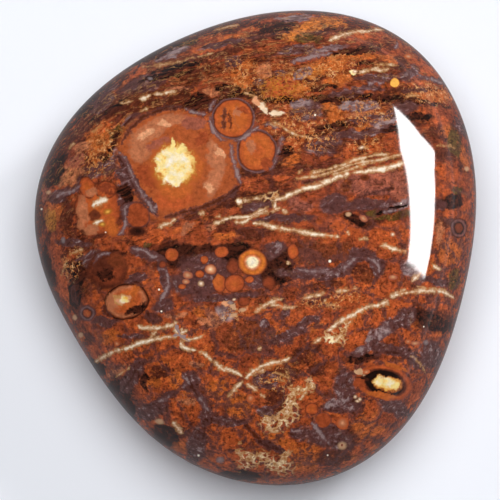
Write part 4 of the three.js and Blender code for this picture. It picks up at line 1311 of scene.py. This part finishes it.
def lay_pale_patches(tree, stone, colour):
    """The bright star and flakes, the spongy patches full of holes, and the spots."""
    uneven_cream = add(tree, "ValToRGB", {0: stone.mottle})
    fill_ramp(uneven_cream.color_ramp, stone_colours(
        (0.36, "gold"), (0.45, "yellow"), (0.54, "cream"), (0.62, "white"),
    ))
    crumbled_less = add(tree, "Math", {0: stone.crumbled, 1: 0.6}, operation="MULTIPLY").outputs[0]
    bright = marks_in(stone.quarter, BRIGHT_PATCHES)
    colour = lay_patches(tree, stone, "bright_patches", colour, bright, crumbled_less, **{
        "cream": uneven_cream.outputs["Color"],
    })

    # Crumbs are a grainy mixture of brown, buff and cream.
    crumbs = add(tree, "ValToRGB", {0: stone.grain})
    fill_ramp(crumbs.color_ramp, stone_colours(
        (0.36, "brick"), (0.44, "buff"), (0.52, "tan"), (0.60, "cream"), (0.68, "buff"),
    ))
    cells = add(tree, "TexVoronoi", {
        "Vector": stone.curled, "Scale": 1 / CELL_SPACING,
    }, feature="DISTANCE_TO_EDGE")
    holes = add(tree, "MapRange", {
        "Value": cells.outputs["Distance"], "From Min": 0.06, "From Max": 0.32,
        "To Min": 0.0, "To Max": -3.2,
    }, clamp=False)
    holes = add(tree, "Math", {0: holes.outputs[0], 1: 0.0}, operation="MINIMUM")
    spongy = add(tree, "Math", {0: stone.crumbled, 1: 1.6, 2: holes.outputs[0]}, operation="MULTIPLY_ADD")
    pale = marks_in(stone.quarter, SPONGY_PATCHES)
    colour = lay_patches(tree, stone, "spongy_patches", colour, pale, spongy.outputs[0], **{
        "buff": crumbs.outputs["Color"], "tan": crumbs.outputs["Color"],
    })
    return lay_orbs(tree, stone, "spots", colour, SPOTS)


def blend_sides(tree, stone, colour, side_colour):
    """Gives way to the sides' own marks across the rim, along an uneven line."""
    uneven = add(tree, "Math", {0: stone.broad, 1: 5.0, 2: stone.height}, operation="MULTIPLY_ADD")
    cover = add(tree, "MapRange", {
        "Value": uneven.outputs[0], "From Min": 9.6, "From Max": 7.6,
    }, interpolation_type="SMOOTHSTEP", clamp=False)
    return paint(tree, colour, cover.outputs[0], side_colour)


def lay_painted_glints(tree, stone, colour):
    """Painted highlights: white points of light laid into the colour of the polished face."""
    for x, y, radius in PAINTED_GLINTS:
        if reaches(stone.quarter, [(x, y)], radius + MARKS_WANDER):
            dot = ellipse(tree, stone.flat, x, y, radius, radius, 0)
            cover = add(tree, "Math", {0: dot, 1: 3.0}, operation="MULTIPLY")
            colour = paint(tree, colour, cover.outputs[0], linear(COLOURS["white"]))
    return colour


def polished_jasper(quarter):
    """One quarter's share of the polished stone."""
    # A dense quartz rock, tumbled and polished: full, wet colour up to a hard smooth face, and sharp reflections.
    material = new_material("polished_leopard_skin_jasper_" + quarter)
    tree = material.node_tree
    stone = SimpleNamespace(quarter=quarter)
    lay_places(tree, stone)
    ground = lay_ground(tree, stone)
    lay_edges(tree, stone)
    colour = lay_warm_patches(tree, stone, ground)
    colour = lay_cool_patches(tree, stone, colour)
    colour = lay_threads(tree, stone, colour)
    colour = lay_lace(tree, stone, colour)
    side_colour = side_marks(tree, stone, ground)
    colour = lay_all_orbs(tree, stone, colour)
    colour = lay_all_veins(tree, stone, colour)
    colour = lay_pale_patches(tree, stone, colour)
    colour = blend_sides(tree, stone, colour, side_colour)
    colour = shade(tree, colour, stone.rough_edge, darkest=0.85, lightest=1.12)
    # Painted highlights: white glints laid over the colour.
    colour = lay_painted_glints(tree, stone, colour)
    polish = add(tree, "BsdfPrincipled", {
        "Base Color": colour, "Roughness": POLISH_ROUGHNESS, "IOR": QUARTZ_IOR,
    })
    add(tree, "OutputMaterial", {"Surface": polish.outputs[0]})
    return material


def make_camera():
    data = bpy.data.cameras.new("camera")
    data.sensor_width = SENSOR_WIDTH
    data.lens = SENSOR_WIDTH * CAMERA_DISTANCE / VIEW_WIDTH
    data.clip_start = CAMERA_NEAR
    data.clip_end = CAMERA_FAR
    camera = bpy.data.objects.new("camera", data)
    tilt = math.radians(CAMERA_ELEVATION)
    away = Vector((0, -math.cos(tilt), math.sin(tilt)))
    target = Vector((VIEW_MIDDLE[0], VIEW_MIDDLE[1] / math.sin(tilt), RIM_HEIGHT)) * MM
    camera.location = target + away * CAMERA_DISTANCE * MM
    camera.rotation_euler = (-away).to_track_quat("-Z", "Y").to_euler()
    bpy.context.collection.objects.link(camera)
    bpy.context.scene.camera = camera


def flat_mesh(name, corners):
    mesh = bpy.data.meshes.new(name)
    mesh.from_pydata([Vector(c) * MM for c in corners], [], [tuple(range(len(corners)))])
    piece = bpy.data.objects.new(name, mesh)
    bpy.context.collection.objects.link(piece)
    return piece


def make_floor():
    h = FLOOR_HALF
    floor = flat_mesh("floor", [(-h, -h, 0), (h, -h, 0), (h, h, 0), (-h, h, 0)])
    # A sheet of matt white acrylic with a painted glow of its own, with no lamp behind it, that lifts the floor
    # and its shadows evenly: an even, cool white with no gloss.
    material = new_material("white_acrylic_with_painted_glow")
    tree = material.node_tree
    sheet = add(tree, "BsdfPrincipled", {
        "Base Color": linear("EBEEF5"), "Roughness": FLOOR_ROUGHNESS, "Specular IOR Level": FLOOR_SHEEN,
        "Emission Color": linear("EEF3FF"), "Emission Strength": FLOOR_GLOW,
    })
    dark = add(tree, "BsdfDiffuse", {"Color": linear("000000")})
    path = add(tree, "LightPath")
    dimming = add(tree, "Math", {0: path.outputs["Is Glossy Ray"], 1: FLOOR_DIMMING}, operation="MULTIPLY")
    seen = add(tree, "MixShader", {0: dimming.outputs[0], 1: sheet.outputs[0], 2: dark.outputs[0]})
    add(tree, "OutputMaterial", {"Surface": seen.outputs[0]})
    floor.data.materials.append(material)


def make_window():
    window = flat_mesh("window", [(WINDOW_DISTANCE, y, z) for y, z in WINDOW_CORNERS])
    window.visible_camera = False
    window.visible_diffuse = False
    # A lit diffuser of plain white: an even glow that the polish mirrors with a sharp edge.
    material = new_material("lit_white_diffuser")
    tree = material.node_tree
    glow = add(tree, "Emission", {"Color": linear("FFFFFF"), "Strength": WINDOW_RADIANCE})
    add(tree, "OutputMaterial", {"Surface": glow.outputs[0]})
    window.data.materials.append(material)


def make_lamps():
    for name, place, size, power in LAMPS:
        data = bpy.data.lights.new(name, "AREA")
        data.size = size * MM
        data.energy = power
        lamp = bpy.data.objects.new(name, data)
        lamp.location = Vector(place) * MM
        lamp.rotation_euler = (-lamp.location).to_track_quat("-Z", "Y").to_euler()
        lamp.visible_glossy = False
        lamp.visible_camera = False
        bpy.context.collection.objects.link(lamp)


def make_world():
    world = bpy.data.worlds.new("pale_room")
    world.use_nodes = True
    tree = world.node_tree
    tree.nodes.clear()
    where = add(tree, "TexCoord")
    axes = add(tree, "SeparateXYZ", {0: where.outputs["Generated"]})
    to_window = add(tree, "VectorMath", {
        0: where.outputs["Generated"], 1: WINDOW_SIDE,
    }, operation="DOT_PRODUCT")
    brighter = add(tree, "MapRange", {
        "Value": to_window.outputs["Value"], "From Min": -0.2, "From Max": 1.0,
        "To Min": ROOM_DIM, "To Max": ROOM_BRIGHT,
    })
    greys = add(tree, "ValToRGB", {0: axes.outputs["Z"]})
    fill_ramp(greys.color_ramp, [(height, linear(grey)) for height, grey in ROOM_GREYS])
    sky = add(tree, "Background", {"Color": greys.outputs[0], "Strength": brighter.outputs[0]})
    add(tree, "OutputWorld", {"Surface": sky.outputs[0]})
    bpy.context.scene.world = world


make_camera()
make_floor()
make_window()
make_lamps()
make_world()
stone = make_pebble()
paint_quarters(stone)
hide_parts("stone")
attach(stone, "root")
bpy.context.scene.view_settings.view_transform = "Standard"
